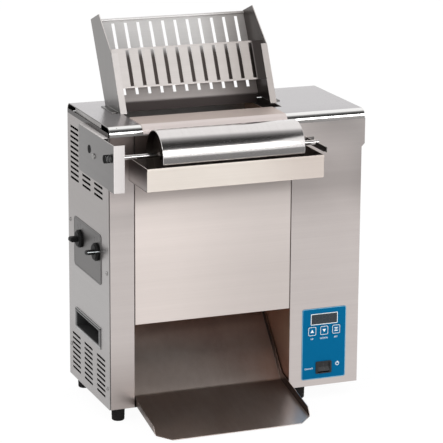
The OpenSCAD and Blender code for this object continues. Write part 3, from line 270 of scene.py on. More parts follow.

# stainless sheets: same steel, each with its own rolling direction and polish; some finishes here are lit
# or shaded copies of a sheet's steel, and most fades are painted light and shade
steelLooks = {
    # control front: painted light and shade near the top, by the trough and roller: darker from 0.3 m up,
    # much lighter from 0.4 m up, darker again towards the upper right corner
    "frontSteel": tones((0.5, 0.45, 0.435), (0.59, 0.54, 0.52), alongX, (0.24, 0.34),
        rim=(0.75, 0.72, 0.7), fades=[(up, 0.3, 0.5, (0.87, 0.86, 0.86)),
        (up, 0.4, 0.5, (2.3, 2.33, 2.33)), ((0.7, 0, 0.7), 0.4, 0.53, (0.36, 0.363, 0.366))]),
    # left column: painted light from 0.375 m up, painted shade over the top behind the roller and bracket,
    # and darker towards the bottom
    "columnSteel": tones((0.5, 0.45, 0.435), (0.59, 0.54, 0.52), alongX, (0.24, 0.34),
        rim=(0.75, 0.72, 0.7), fades=[(up, 0.375, 0.41, (1.35, 1.34, 1.34)),
        (up, 0.445, 0.475, (0.36, 0.33, 0.32)), (down, -0.17, -0.03, (0.68, 0.66, 0.65))]),
    # side and rear panels: a darker tone than the front, painted shade of the shaded side; darker towards
    # the top, a painted shadow line along the top edge under the lid, and darker towards the bottom
    "sideShadedSteel": tones((0.344, 0.33, 0.325), (0.411, 0.396, 0.391), alongY, (0.28, 0.4),
        rim=(0.6, 0.58, 0.56), fades=[(up, 0.24, 0.38, (0.87, 0.845, 0.835)),
        (up, 0.524, 0.5246, (0.15, 0.14, 0.14)), (down, -0.16, -0.09, (0.89, 0.885, 0.88))]),
    # front cover: painted light towards the top, a painted shadow under the trough, painted shade over the
    # top behind the roller, darker towards the right, and painted shadow lines in the gaps at both side
    # edges
    "coverSteel": tones((0.66, 0.59, 0.557), (0.75, 0.675, 0.64), alongX, (0.26, 0.38),
        rim=(0.82, 0.79, 0.76), fades=[(up, 0.25, 0.39, (1.2, 1.2, 1.2)),
        (up, 0.392, 0.42, (0.72, 0.71, 0.71)), (up, 0.455, 0.5, (0.28, 0.25, 0.24)),
        (rightward, -0.17, 0.1, (0.82, 0.825, 0.83)), (rightward, 0.1132, 0.1142, (0.25, 0.22, 0.21)),
        (leftward, 0.1824, 0.1834, (0.25, 0.22, 0.21))]),
    "lidSteel": tones((0.42, 0.402, 0.41), (0.485, 0.465, 0.475), alongX, (0.18, 0.28), edge=0.3),
    # lid nose: a much paler, smoother copy of the lid's steel on its rounded front and back, a painted
    # highlight
    "noseLitSteel": tones((0.86, 0.85, 0.84), (0.93, 0.92, 0.91), alongX, (0.1, 0.16), edge=0.2),
    # darker copies of the lid's steel, painted shade: the foot of the nose, the lid's left end, and its
    # inside
    "noseFootShade": tones((0.2, 0.19, 0.185), (0.28, 0.27, 0.262), alongX, (0.42, 0.55), edge=0.2, metal=0.5),
    "lidEndShade": tones((0.2, 0.19, 0.185), (0.4, 0.385, 0.375), (600, 60, 600), (0.28, 0.4), edge=0.2),
    "lidInsideShade": tones((0.02, 0.018, 0.017), (0.035, 0.032, 0.03), alongX, (0.4, 0.5), edge=0.2),
    "stripSteel": tones((0.516, 0.431, 0.392), (0.585, 0.493, 0.451), alongX, (0.4, 0.52), edge=0.3,
        metal=0.6),
    # strip lip: a paler, less metallic copy of the strip's steel on its faces turned to the front, painted
    # light
    "stripLipLit": tones((0.6, 0.53, 0.51), (0.665, 0.593, 0.573), alongX, (0.4, 0.52), edge=0.3,
        metal=0.25),
    # trough: painted shade, darker towards the right
    "troughSteel": tones((0.69, 0.625, 0.567), (0.78, 0.717, 0.655), alongX, (0.3, 0.44), clouds=0.9,
        edge=0.2, metal=0.3, fades=[(rightward, -0.05, 0.12, (0.82, 0.79, 0.79))]),
    # darker copies of the trough's steel, painted shade: its end plates, darkest at the top, and its inside
    "troughEndShade": tones((0.31, 0.29, 0.285), (0.43, 0.405, 0.4), alongY, (0.26, 0.4), clouds=0.9,
        fades=[(up, 0.442, 0.477, (0.21, 0.17, 0.165))]),
    "troughInsideShade": tones((0.2, 0.165, 0.15), (0.28, 0.24, 0.22), alongX, (0.4, 0.55), edge=0.2),
    "feederSteel": tones((0.18, 0.172, 0.167), (0.24, 0.23, 0.224), alongZ, (0.24, 0.34),
        rim=(0.7, 0.68, 0.66), fades=[(down, -0.585, -0.545, (0.7, 0.7, 0.7))]),
    # feeder folds: a paler copy of the feeder's steel on the folds turned to the front, painted light, with
    # painted shade towards the right
    "foldLitSteel": tones((0.62, 0.58, 0.56), (0.74, 0.7, 0.68), alongZ, (0.34, 0.46), edge=0.3, metal=0.45,
        fades=[(rightward, 0.0, 0.1, (0.74, 0.72, 0.71))]),
    "feederShade": tones((0.04, 0.033, 0.031), (0.14, 0.125, 0.118), (40, 40, 6), (0.26, 0.38), edge=0.3),
    # rack: painted shade on its front faces, darker towards the right, a dark band behind the divider,
    # lighter under it, and dark again at the foot
    "rackSteel": tones((0.62, 0.605, 0.595), (0.73, 0.715, 0.705), alongX, (0.34, 0.46), edge=0.3,
        metal=0.45, facing=forward, fades=[(rightward, 0.02, 0.1, (0.62, 0.6, 0.59)),
        (down, -0.634, -0.616, (0.2, 0.17, 0.16)), (down, -0.573, -0.5615, (3.6, 4.0, 4.2)),
        (down, -0.5465, -0.5425, (0.16, 0.14, 0.14))]),
    "weldSteel": tones((0.2, 0.19, 0.185), (0.3, 0.29, 0.28), evenGrain, (0.3, 0.45), edge=0.3),
    # divider: painted shade on its front faces, darker towards the right, and a dark painted strip past the
    # last slot
    "dividerSteel": tones((0.6, 0.56, 0.54), (0.69, 0.65, 0.625), alongX, (0.34, 0.46), edge=0.3,
        metal=0.45, facing=forward, fades=[(rightward, 0.0, 0.09, (0.72, 0.7, 0.69)),
        (rightward, 0.092, 0.099, (0.06, 0.05, 0.047))]),
    "bracketSteel": tones((0.17, 0.165, 0.162), (0.22, 0.212, 0.21), alongY, (0.3, 0.4),
        rim=(0.55, 0.53, 0.52)),
    "forkSteel": tones((0.09, 0.084, 0.08), (0.15, 0.142, 0.138), alongY, (0.3, 0.42),
        rim=(0.3, 0.28, 0.27)),
    # bracket flange: a paler copy of the bracket's steel on its faces turned to the front and up, painted
    # light
    "flangeLitSteel": tones((0.6, 0.568, 0.557), (0.67, 0.637, 0.625), alongZ, (0.3, 0.4), edge=0.3,
        metal=0.25),
    "rollerSteel": tones((0.72, 0.69, 0.68), (0.8, 0.77, 0.76), (900, 20, 20), (0.12, 0.18), clouds=0.3,
        bump=0.03, edge=0.3),
    # inside the drum: a dark copy of the roller's steel, painted shade
    "drumInsideShade": tones((0.1, 0.085, 0.075), (0.16, 0.14, 0.125), evenGrain, (0.3, 0.42), edge=0.3),
    "shaftSteel": tones((0.5, 0.48, 0.47), (0.66, 0.64, 0.63), (900, 40, 40), (0.14, 0.24),
        rim=(0.8, 0.8, 0.8)),
    # chute: its warm tone is partly a painted reflection; painted shade, darker and warmer towards the
    # back, and painted light over the top of the back and towards the front right
    "chuteSteel": tones((0.5, 0.42, 0.38), (0.64, 0.57, 0.53), alongY, (0.3, 0.44), clouds=1.2,
        rim=(0.6, 0.54, 0.5), fades=[((0.5, 0.8, 0), -0.05, 0.03, (0.68, 0.58, 0.55)),
        (up, 0.085, 0.15, (1.75, 1.5, 1.42)), ((0.7, -0.7, 0), 0.16, 0.2, (1.5, 1.6, 1.65))]),
    # chute walls: a dark copy of the chute's steel, painted shade
    "chuteWallShade": tones((0.1, 0.072, 0.06), (0.16, 0.12, 0.1), alongY, (0.3, 0.44), clouds=1.2),
    # right inner wall: its warm tone is partly a painted reflection; darker towards the bottom
    "innerSteel": tones((0.72, 0.48, 0.36), (0.82, 0.59, 0.46), alongZ, (0.36, 0.5), clouds=0.9,
        rim=(0.6, 0.54, 0.5), fades=[(down, -0.14, -0.06, (0.33, 0.27, 0.26))]),
    "shadeSteel": tones((0.02, 0.018, 0.017), (0.045, 0.041, 0.039), alongZ, (0.45, 0.6)),
    "screwSteel": tones((0.25, 0.245, 0.24), (0.38, 0.372, 0.365), evenGrain, (0.24, 0.38), edge=0.4,
        rim=(0.6, 0.6, 0.59)),
    "dialSteel": tones((0.12, 0.115, 0.113), (0.158, 0.152, 0.149), alongY, (0.34, 0.46),
        rim=(0.45, 0.44, 0.43)),
    "platenMetal": tones((0.42, 0.41, 0.4), (0.58, 0.57, 0.56), (120, 120, 120), (0.34, 0.55), bump=0.2),
    "heaterMetal": tones((0.16, 0.15, 0.14), (0.26, 0.24, 0.22), (900, 40, 40), (0.35, 0.5)),
    "conveyorSteel": tones((0.3, 0.3, 0.3), (0.42, 0.42, 0.41), alongZ, (0.3, 0.42)),
    "driveRollerMetal": tones((0.25, 0.25, 0.25), (0.38, 0.38, 0.38), (700, 30, 30), (0.28, 0.4)),
    "bronze": tones((0.4, 0.25, 0.11), (0.56, 0.37, 0.18), evenGrain, (0.28, 0.42)),
    "gearMetal": tones((0.42, 0.3, 0.13), (0.58, 0.43, 0.2), (900, 60, 60), (0.26, 0.4),
        rim=(0.7, 0.56, 0.32)),
}

# plastics, rubber, paint, ink and film
otherLooks = {
    "blackPlastic": tones((0.014, 0.014, 0.015), (0.03, 0.03, 0.031), evenGrain, (0.32, 0.48), bump=0.12,
        gloss=0.18, rim=(0.05, 0.05, 0.05)),
    # hand pockets: painted light on the rim standing proud of the side panels and below 0.13 m and above
    # 0.164 m, with a thin painted shade line just under 0.164 m
    "pocketPlastic": tones((0.025, 0.025, 0.025), (0.045, 0.045, 0.045), evenGrain, (0.5, 0.65),
        bump=0.12, gloss=0.08, edge=0.5, fades=[(leftward, 0.2326, 0.233, (5, 5, 5)),
        (rightward, 0.2526, 0.253, (5, 5, 5)), (down, -0.1306, -0.1298, (2.1, 2.1, 2.1)),
        (up, 0.1612, 0.1617, (0.3, 0.3, 0.3)), (up, 0.164, 0.1645, (7, 7, 7))]),
    "knobPlastic": tones((0.006, 0.006, 0.006), (0.012, 0.012, 0.012), (600, 600, 600), (0.4, 0.52),
        bump=0.1, gloss=0.06, rim=(0.025, 0.025, 0.025)),
    "capPlastic": tones((0.005, 0.005, 0.005), (0.01, 0.01, 0.01), evenGrain, (0.6, 0.75),
        bump=0.08, edge=0.2, gloss=0.04),
    "capGap": tones((0.28, 0.28, 0.28), (0.38, 0.38, 0.38), evenGrain, (0.4, 0.55), edge=0.1),
    # black for the bracket's plug, and for the plate that paints shade inside the lid
    "plugAndShadeBlack": tones((0.006, 0.006, 0.006), (0.014, 0.014, 0.014), (500, 500, 500), (0.6, 0.75),
        edge=0.3, gloss=0.1),
    "footRubber": tones((0.007, 0.006, 0.006), (0.016, 0.015, 0.015), (350, 350, 350), (0.6, 0.8),
        bump=0.25, gloss=0.08, rim=(0.035, 0.035, 0.035)),
    "overlayBlue": tones((0.0, 0.1, 0.228), (0.001, 0.116, 0.256), (2200, 2200, 2200), (0.42, 0.55),
        bump=0.08, edge=0.3, gloss=0.03),
    "keyBlue": tones((0.0, 0.095, 0.217), (0.001, 0.11, 0.242), (1800, 1800, 1800), (0.36, 0.48),
        bump=0.06, edge=0.5, gloss=0.04),
    "paleInk": tones((0.16, 0.4, 0.55), (0.24, 0.5, 0.64), printGrain, (0.4, 0.55), edge=0.1),
    "dimSegments": tones((0.034, 0.038, 0.043), (0.044, 0.049, 0.055), evenGrain, (0.4, 0.5),
        edge=0.1, gloss=0.2),
    "dimMark": tones((0.05, 0.05, 0.052), (0.07, 0.07, 0.072), printGrain, (0.4, 0.55), edge=0.1,
        gloss=0.1),
    "whiteInk": tones((0.74, 0.8, 0.83), (0.86, 0.9, 0.92), printGrain, (0.4, 0.55), edge=0.1),
    "darkInk": tones((0.02, 0.02, 0.02), (0.05, 0.05, 0.05), printGrain, (0.45, 0.6), edge=0.1),
    "displayWindow": tones((0.022, 0.028, 0.034), (0.034, 0.041, 0.048), (60, 60, 60), (0.2, 0.3),
        bump=0.01, edge=0.3, gloss=0.22),
    "releaseFilm": tones((0.2, 0.12, 0.06), (0.32, 0.21, 0.12), (400, 400, 400), (0.4, 0.55), bump=0.15),
    "beltRubber": tones((0.03, 0.027, 0.024), (0.07, 0.064, 0.058), (60, 500, 500), (0.55, 0.75),
        bump=0.3),
    "motorPaint": tones((0.05, 0.055, 0.06), (0.09, 0.095, 0.1), (500, 500, 500), (0.4, 0.55), bump=0.12,
        rim=(0.2, 0.2, 0.2)),
    "boardGreen": tones((0.01, 0.09, 0.035), (0.02, 0.16, 0.06), evenGrain, (0.3, 0.45), coat=0.3,
        coatRough=0.15),
}

finishes = {}
for finishName, look in steelLooks.items():
    finishes[finishName] = makeFinish(finishName, {"metal": 1.0, **look})
for finishName, look in otherLooks.items():
    finishes[finishName] = makeFinish(finishName, look)
print("finishes:", len(finishes))

nodeFinish = {
    "frontSteel": ["control_front_panel"],
    "columnSteel": ["left_front_column"],
    "sideShadedSteel": ["left_side_panel", "right_side_panel", "rear_panel"],
    "coverSteel": ["front_cover"],
    "lidSteel": ["top_lid"],
    "stripSteel": ["throat_strip"],
    "troughSteel": ["spreader_pan"],
    "feederSteel": ["feeder_left_side", "feeder_right_side"],
    "rackSteel": ["feeder_rear_rack"],
    "dividerSteel": ["feeder_divider"],
    "bracketSteel": ["left_roller_bracket"],
    "forkSteel": ["right_roller_fork"],
    "rollerSteel": ["roller_drum"],
    "shaftSteel": ["roller_shaft", "front_cam_shaft", "rear_cam_shaft"],
    "chuteSteel": ["discharge_chute"],
    "innerSteel": ["right_inner_wall"],
    "shadeSteel": ["base_pan", "left_inner_wall"],
    "screwSteel": ["fasteners"],
    "dialSteel": ["dial_plate"],
    "platenMetal": ["platen"],
    "heaterMetal": ["heater_rods"],
    "conveyorSteel": ["front_conveyor_frame", "rear_conveyor_frame"],
    "driveRollerMetal": ["front_drive_roller", "rear_drive_roller",
                         "front_idler_roller", "rear_idler_roller"],
    "bronze": ["shaft_bushes"],
    "gearMetal": ["front_drive_gear", "rear_drive_gear", "front_idler_gear", "rear_idler_gear",
                  "motor_pinion"],
    "capPlastic": ["roller_bearing_block"],
    "pocketPlastic": ["hand_pockets"],
    "blackPlastic": ["cord_gland", "rocker_housing", "power_rocker",
                     "power_relay", "cooling_fan_frame", "fan_impeller"],
    "knobPlastic": ["front_knob", "rear_knob"],
    "footRubber": ["feet"],
    "overlayBlue": ["control_overlay"],
    "keyBlue": ["up_key", "down_key", "select_key"],
    "displayWindow": ["display_lens"],
    "releaseFilm": ["release_sheet"],
    "beltRubber": ["front_belt", "rear_belt"],
    "motorPaint": ["gear_motor"],
    "boardGreen": ["control_board"],
}
for finishName, members in nodeFinish.items():
    for member in members:
        slots = nodes[member].data.materials
        for index in range(max(1, len(slots))):
            if index < len(slots):
                slots[index] = finishes[finishName]
            else:
                slots.append(finishes[finishName])
print("nodes dressed:", sum(len(members) for members in nodeFinish.values()))


# pieces are modelled in millimetres from the body's left front corner, then carried into the frame

def turnX(degrees):
    return Matrix.Rotation(math.radians(degrees), 4, "X")


toFrame = Matrix.Diagonal((mm, mm, mm, 1)) @ Matrix.Translation((-232.5, -71.5, 0))
faceFront = turnX(90)                                                 # flat marks turned to the front
faceLeft = Matrix.Rotation(math.radians(-90), 4, "Z") @ faceFront     # and to the left side


crease = math.radians(32)       # sharper bends than this stay sharp


def pick(table, names):
    return [table[name] for name in names.split()]


def placeMesh(name, bm, finish):
    mesh = bpy.data.meshes.new(name)
    bm.to_mesh(mesh)
    bm.free()
    mesh.materials.append(finish)
    piece = bpy.data.objects.new(name, mesh)
    scene.collection.objects.link(piece)
    return piece


def newPiece(name, bm, finish, body, replaced=()):
    bmesh.ops.remove_doubles(bm, verts=bm.verts, dist=0.002)
    bmesh.ops.recalc_face_normals(bm, faces=bm.faces)
    bmesh.ops.transform(bm, matrix=toFrame, verts=bm.verts)
    piece = placeMesh(name, bm, finishes[finish])
    piece.data.shade_smooth()
    piece.data.set_sharp_from_angle(angle=crease)
    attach(piece, body)
    if replaced:
        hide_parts(*replaced)
    return piece


def alsoFinish(piece, finish, picks):
    index = len(piece.data.materials)
    piece.data.materials.append(finishes[finish])
    for face in piece.data.polygons:
        if picks(face):
            face.material_index = index


def joinInto(bm, part, matrix=None):
    if matrix is not None:
        bmesh.ops.transform(part, matrix=matrix, verts=part.verts)
    carried = bpy.data.meshes.new("carried")
    part.to_mesh(carried)
    part.free()
    bm.from_mesh(carried)
    bpy.data.meshes.remove(carried)


def roundEdges(bm, geom, radius, segments=3, affect="EDGES"):
    bmesh.ops.bevel(bm, geom=geom, offset=radius, offset_type="OFFSET", segments=segments,
                    profile=0.5, affect=affect, material=-1)


def roundBlock(low, high, radius, segments=2):
    bm = bmesh.new()
    low, high = Vector(low), Vector(high)
    bmesh.ops.create_cube(bm, size=1)
    bmesh.ops.scale(bm, verts=bm.verts, vec=high - low)
    bmesh.ops.translate(bm, verts=bm.verts, vec=(low + high) / 2)
    roundEdges(bm, bm.edges[:], radius, segments)
    return bm


def spinShape(outline, at, axis, steps=48, closed=False):
    bm = bmesh.new()
    at, axis = Vector(at), Vector(axis)
    side = Vector((1, 0, 0)) if abs(axis.z) > 0.5 else Vector((0, 0, 1))
    corners = [bm.verts.new(at + axis * run + side * reach) for run, reach in outline]
    chain = [bm.edges.new(pair) for pair in zip(corners, corners[1:])]
    if closed:
        chain.append(bm.edges.new((corners[-1], corners[0])))
    bmesh.ops.spin(bm, geom=corners + chain, cent=at, axis=axis, angle=math.tau, steps=steps,
                   use_merge=True)
    bmesh.ops.remove_doubles(bm, verts=bm.verts, dist=0.001)
    return bm


def newVerts(result):
    return [item for item in result["geom"] if isinstance(item, bmesh.types.BMVert)]


def openSheet(fold, run, bends, segments=6):
    bm = bmesh.new()
    corners = [bm.verts.new(point) for point in fold]
    path = [bm.edges.new(pair) for pair in zip(corners, corners[1:])]
    bmesh.ops.translate(bm, verts=newVerts(bmesh.ops.extrude_edge_only(bm, edges=path)), vec=run)
    for corner, bend in zip(fold[1:-1], bends):
        ends = [Vector(corner), Vector(corner) + Vector(run)]
        crease = [edge for edge in bm.edges
                  if all(min((vert.co - end).length for end in ends) < 0.001 for vert in edge.verts)]
        roundEdges(bm, crease, bend, segments)
    return bm


def thicken(bm, thick, inside):
    bm.normal_update()
    face = max(bm.faces, key=lambda face: face.calc_area())
    inward = (Vector(inside) - face.calc_center_median()).dot(face.normal) > 0
    bmesh.ops.solidify(bm, geom=bm.faces[:], thickness=-thick if inward else thick)
    return bm


def drawUp(bm, depth):
    bmesh.ops.translate(bm, verts=newVerts(bmesh.ops.extrude_face_region(bm, geom=bm.faces[:])), vec=depth)
    return bm


def flatPlate(outline, depth, rounded=(), radius=1.0, segments=4):
    bm = bmesh.new()
    corners = [bm.verts.new(point) for point in outline]
    bm.faces.new(corners)
    if rounded:
        roundEdges(bm, [corners[index] for index in rounded], radius, segments, "VERTICES")
    return drawUp(bm, depth)


def flatGrid(width, height):
    bm = bmesh.new()
    bmesh.ops.create_grid(bm, x_segments=1, y_segments=1, size=0.5)
    bmesh.ops.scale(bm, verts=bm.verts, vec=(width, height, 1))
    return bm


def cutSheet(bm, at, across, clear=False):
    geom = bm.verts[:] + bm.edges[:] + bm.faces[:]
    bmesh.ops.bisect_plane(bm, geom=geom, plane_co=at, plane_no=across, clear_outer=clear)


def ringLine(width, height, corner, line, depth):
    bm = flatGrid(width, height)
    roundEdges(bm, bm.verts[:], corner, 5, "VERTICES")
    inner = bm.faces[:]
    bmesh.ops.inset_region(bm, faces=inner, thickness=line, use_even_offset=True, use_boundary=True)
    bmesh.ops.delete(bm, geom=inner, context="FACES")
    return drawUp(bm, (0, 0, depth))


def addFrame(bm, part, depth, place):
    joinInto(bm, ringLine(*part["size"], part["corner"], part["line"], depth), place)


def addBar(bm, low, high, depth, ease, place):
    joinInto(bm, roundBlock((*low, 0), (*high, depth), ease, 1), place)


def wordShape(text, size, depth):
    curve = bpy.data.curves.new("word", "FONT")
    curve.body = text
    curve.size = size
    curve.align_x, curve.align_y = "CENTER", "CENTER"
    curve.extrude = depth
    curve.resolution_u = 3
    holder = bpy.data.objects.new("word", curve)
    scene.collection.objects.link(holder)
    flat = bpy.data.meshes.new_from_object(holder.evaluated_get(bpy.context.evaluated_depsgraph_get()))
    bm = bmesh.new()
    bm.from_mesh(flat)
    bpy.data.objects.remove(holder)
    bpy.data.curves.remove(curve)
    bpy.data.meshes.remove(flat)
    return bm


# spreading roller: a thin drum with rounded rims, recessed ends and a collar on the shaft

roller = {"left": 69.5, "length": 265, "radius": 44, "wall": 2, "recess": 12, "web": 3, "bore": 4.05,
          "collar": 9, "collarReach": 5, "rim": 0.8, "at": (-46, 498.8), "steps": 128}


def makeRoller():
    long, radius, bore, collar, web, reach = pick(roller, "length radius bore collar web collarReach")
    wall, near, far = radius - roller["wall"], roller["recess"], long - roller["recess"]
    outline = [(near - reach, bore), (near - reach, collar), (near, collar), (near, wall),
               (0, wall), (0, radius), (long, radius), (long, wall), (far, wall), (far, collar),
               (far + reach, collar), (far + reach, bore), (far - web, bore), (far - web, wall),
               (near + web, wall), (near + web, bore)]
    centre = Vector((roller["left"], *roller["at"]))
    bm = spinShape(outline, centre, (1, 0, 0), roller["steps"], True)

    def onRim(vert):
        out = vert.co - centre
        return min(abs(out.x), abs(out.x - long)) < 0.01 and abs(out.yz.length - radius) < 0.01

    rims = [edge for edge in bm.edges if all(onRim(vert) for vert in edge.verts)]
    roundEdges(bm, rims, roller["rim"], 3)
    piece = newPiece("rollerDrum", bm, "rollerSteel", "spreading_roller", ["roller_drum"])
    axis = toFrame @ centre
    # the faces inside the drum take the painted shade copy
    alsoFinish(piece, "drumInsideShade", lambda face: (face.center - axis).yz.length < (wall + 1) * mm)


# trough under the roller: one sheet folded up at front and back, two end plates, and a hem along the front

trough = {"left": 38, "right": 368, "front": -96, "low": 445.6, "high": 487, "sheet": 1.2, "bend": 3,
          "hem": 5, "hemRound": 0.3}


def makeTrough():
    left, right, front, low, high, sheet = pick(trough, "left right front low high sheet")
    fold = [(left, 0, high), (left, 0, low), (left, front, low), (left, front, high)]
    bm = openSheet(fold, (right - left, 0, 0), (trough["bend"],) * 2)
    thicken(bm, sheet, (left, front / 2, high))
    half = sheet / 2
    for start, depth in ((left, sheet), (right, -sheet)):
        plate = [(start, -half, low + half), (start, front + half, low + half),
                 (start, front + half, high), (start, -half, high)]
        joinInto(bm, flatPlate(plate, (depth, 0, 0), (0, 1), trough["bend"] - half))
    hemLow = (left, front - sheet, high - trough["hem"])
    joinInto(bm, roundBlock(hemLow, (right, front + half, high), trough["hemRound"], 4))
    piece = newPiece("rollerTrough", bm, "troughSteel", "toaster_body", ["spreader_pan"])
    # painted shade on the end plates and inside the trough
    alsoFinish(piece, "troughEndShade", lambda face: abs(face.normal.x) > 0.8)
    centre = toFrame @ Vector(((left + right) / 2, front / 2, high))
    rim = (high - 1) * mm

    def inward(face):
        return face.normal.dot(centre - face.center) > 0.004 and face.center.z < rim

    alsoFinish(piece, "troughInsideShade", inward)


# throat strip: it lies on the lid in front of the throat and bends down over the lid's front edge

strip = {"left": 63, "right": 336, "back": 68, "front": -5.6, "top": 543.2, "tail": 525, "lip": 527.5,
         "sheet": 1.2, "bends": (1.6, 14.7)}


def makeStrip():
    left, back, front, top, tail, lip = pick(strip, "left back front top tail lip")
    fold = [(left, back, tail), (left, back, top), (left, front, top), (left, front, lip)]
    bm = openSheet(fold, (strip["right"] - left, 0, 0), strip["bends"], 10)
    thicken(bm, strip["sheet"], (left, (front + back) / 2, lip))
    piece = newPiece("throatBridge", bm, "stripSteel", "toaster_body", ["throat_strip"])
    # the front-facing lip takes the painted light copy
    alsoFinish(piece, "stripLipLit", lambda face: face.normal.y < -0.2)


# lid: one sheet rounded down at front and back, with the throat cut out of it, end plates, and a black
# plate inside its left end as painted shade

lid = {"left": 2, "right": 488, "front": -4, "back": 237, "low": 525, "high": 542, "sheet": 1.5,
       "nose": 13.5, "plateRound": 0.2, "shadeBlockRound": 0.4,
       "throat": ((62, 66.6), (355, 192)), "leftPlate": (2, 44, 189), "rightPlate": (473, 9.5, 223.5),
       "footHigh": 5.2, "shadeBlock": ((16, 2, 500), (1.5, 227, 540.4))}


def makeLid():
    left, right, front, back, low, high = pick(lid, "left right front back low high")
    sheet, nose = lid["sheet"], lid["nose"]
    fold = [(left, front, low), (left, front, high), (left, back, high), (left, back, low)]
    bm = openSheet(fold, (right - left, 0, 0), (nose, nose), 12)
    (x0, y0), (x1, y1) = lid["throat"]
    for at in (x0, x1):
        cutSheet(bm, (at, 0, 0), (1, 0, 0))
    for at in (y0, y1):
        cutSheet(bm, (0, at, 0), (0, 1, 0))
    hole = []
    for face in bm.faces:
        middle = face.calc_center_median()
        if x0 < middle.x < x1 and y0 < middle.y < y1:
            hole.append(face)
    bmesh.ops.delete(bm, geom=hole, context="FACES")
    thicken(bm, sheet, (left, (front + back) / 2, low))
    for at, start, stop in (lid["leftPlate"], lid["rightPlate"]):
        joinInto(bm, roundBlock((at, start, low), (at + sheet, stop, high - sheet / 2), lid["plateRound"]))
    piece = newPiece("lidShell", bm, "lidSteel", "toaster_body", ["top_lid"])
    # the rounded nose at front and back takes the paler copy, a painted highlight
    edge = (toFrame @ Vector((0, front + nose, 0))).y
    rear = (toFrame @ Vector((0, back - nose, 0))).y
    alsoFinish(piece, "noseLitSteel", lambda face: face.center.y < edge or face.center.y > rear)
    # the nose's foot, the lid's inside and its left end take the darker copies: painted shade
    foot = (low + lid["footHigh"]) * mm
    alsoFinish(piece, "noseFootShade", lambda face: face.center.z < foot)

    def inward(face):
        place, turned = face.center.y, face.normal.y
        return face.normal.z < -0.1 or (place < edge and turned > 0.1) or (place > rear and turned < -0.1)

    alsoFinish(piece, "lidInsideShade", inward)
    alsoFinish(piece, "lidEndShade", lambda face: face.normal.x < -0.8)
    # a black plate inside the lid's left end, put there to darken the hollow: painted shade
    (x, y, z), (depth, wide, top) = lid["shadeBlock"]
    shadeBlock = roundBlock((x, y, z), (x + depth, y + wide, top), lid["shadeBlockRound"])
    newPiece("lidShadeBlock", shadeBlock, "plugAndShadeBlack", "toaster_body")


# discharge chute: floor and back with a tight bend, low walls folded up at the sides, cut front corners

chute = {"left": 49.2, "right": 346.6, "front": (-125, 2.819), "bend": (30, 34.073),
         "top": (137.06, 152.98), "sheet": 1.2, "bendRadius": 4, "wall": 14, "wallLean": 10,
         "wallRadius": 2, "corner": (25, 21)}


def makeChute():
    sheet, left, right = chute["sheet"], chute["left"] + chute["sheet"], chute["right"] - chute["sheet"]
    fold = [(left, *chute["front"]), (left, *chute["bend"]), (left, *chute["top"])]
    bm = openSheet(fold, (right - left, 0, 0), (chute["bendRadius"],), 8)
    frontY, (across, slant) = chute["front"][0], chute["corner"]
    for side, turn in ((left, -1), (right, 1)):
        cutSheet(bm, (side, frontY + slant, 0), (turn * slant, -across, 0), True)

    def atSide(edge):
        return all(min(abs(vert.co.x - left), abs(vert.co.x - right)) < 0.01 for vert in edge.verts)

    sides = [edge for edge in bm.edges if edge.is_boundary and atSide(edge)]
    raised = newVerts(bmesh.ops.extrude_edge_only(bm, edges=sides))
    bmesh.ops.translate(bm, verts=raised, vec=(0, 0, chute["wall"]))
    noses = [vert for vert in raised if vert.co.y < frontY + slant + 1]
    bmesh.ops.translate(bm, verts=noses, vec=(0, chute["wallLean"], 0))
    creases = [edge for edge in bm.edges
               if len(edge.link_faces) == 2 and atSide(edge) and edge.calc_face_angle() > 1.0]
    roundEdges(bm, creases, chute["wallRadius"], 4)
    bmesh.ops.recalc_face_normals(bm, faces=bm.faces)
    floorUp = max(bm.faces, key=lambda face: face.calc_area()).normal.z > 0
    bmesh.ops.solidify(bm, geom=bm.faces[:], thickness=sheet if floorUp else -sheet)
    piece = newPiece("dischargeChute", bm, "chuteSteel", "chute", ["discharge_chute"])
    # faces turned to the sides take the painted shade copy
    alsoFinish(piece, "chuteWallShade", lambda face: abs(face.normal.x) > 0.5)


# roller bracket on the left: a plate with its front edge folded in and a flange along the top

bracket = {"out": -12, "front": -66, "back": 128, "low": 441, "high": 525, "flange": 20, "sheet": 1.5,
           "bend": 2.2, "flangeRound": 0.3}


def makeBracket():
    out, front, back, low, high, sheet = pick(bracket, "out front back low high sheet")
    fold = [(out + bracket["flange"], front, low), (out, front, low), (out, back, low)]
    bm = openSheet(fold, (0, 0, high - low), (bracket["bend"],))
    thicken(bm, sheet, (0, 0, low))
    joinInto(bm, roundBlock((out + sheet - 0.1, 0, high - sheet), (0, back, high), bracket["flangeRound"]))
    piece = newPiece("rollerBracket", bm, "bracketSteel", "toaster_body",
                     ["left_roller_bracket"])
    # faces turned to the front and up take the painted light copy
    alsoFinish(piece, "flangeLitSteel", lambda face: face.normal.y < -0.6 or face.normal.z > 0.6)


# bearing cap on the bracket: a dark turned cap with rings, its neck through the plate, a blind bore inside

bearing = {"at": (-7.5, -46, 498.8), "neck": (4.5, 6.0), "bore": (13, 4.05), "end": 15.5, "groove": 6.3,
           "ring": 7.5, "rings": (5.55, 8.3, 11.05, 13.8), "ringWide": 1.7, "round": 0.35}


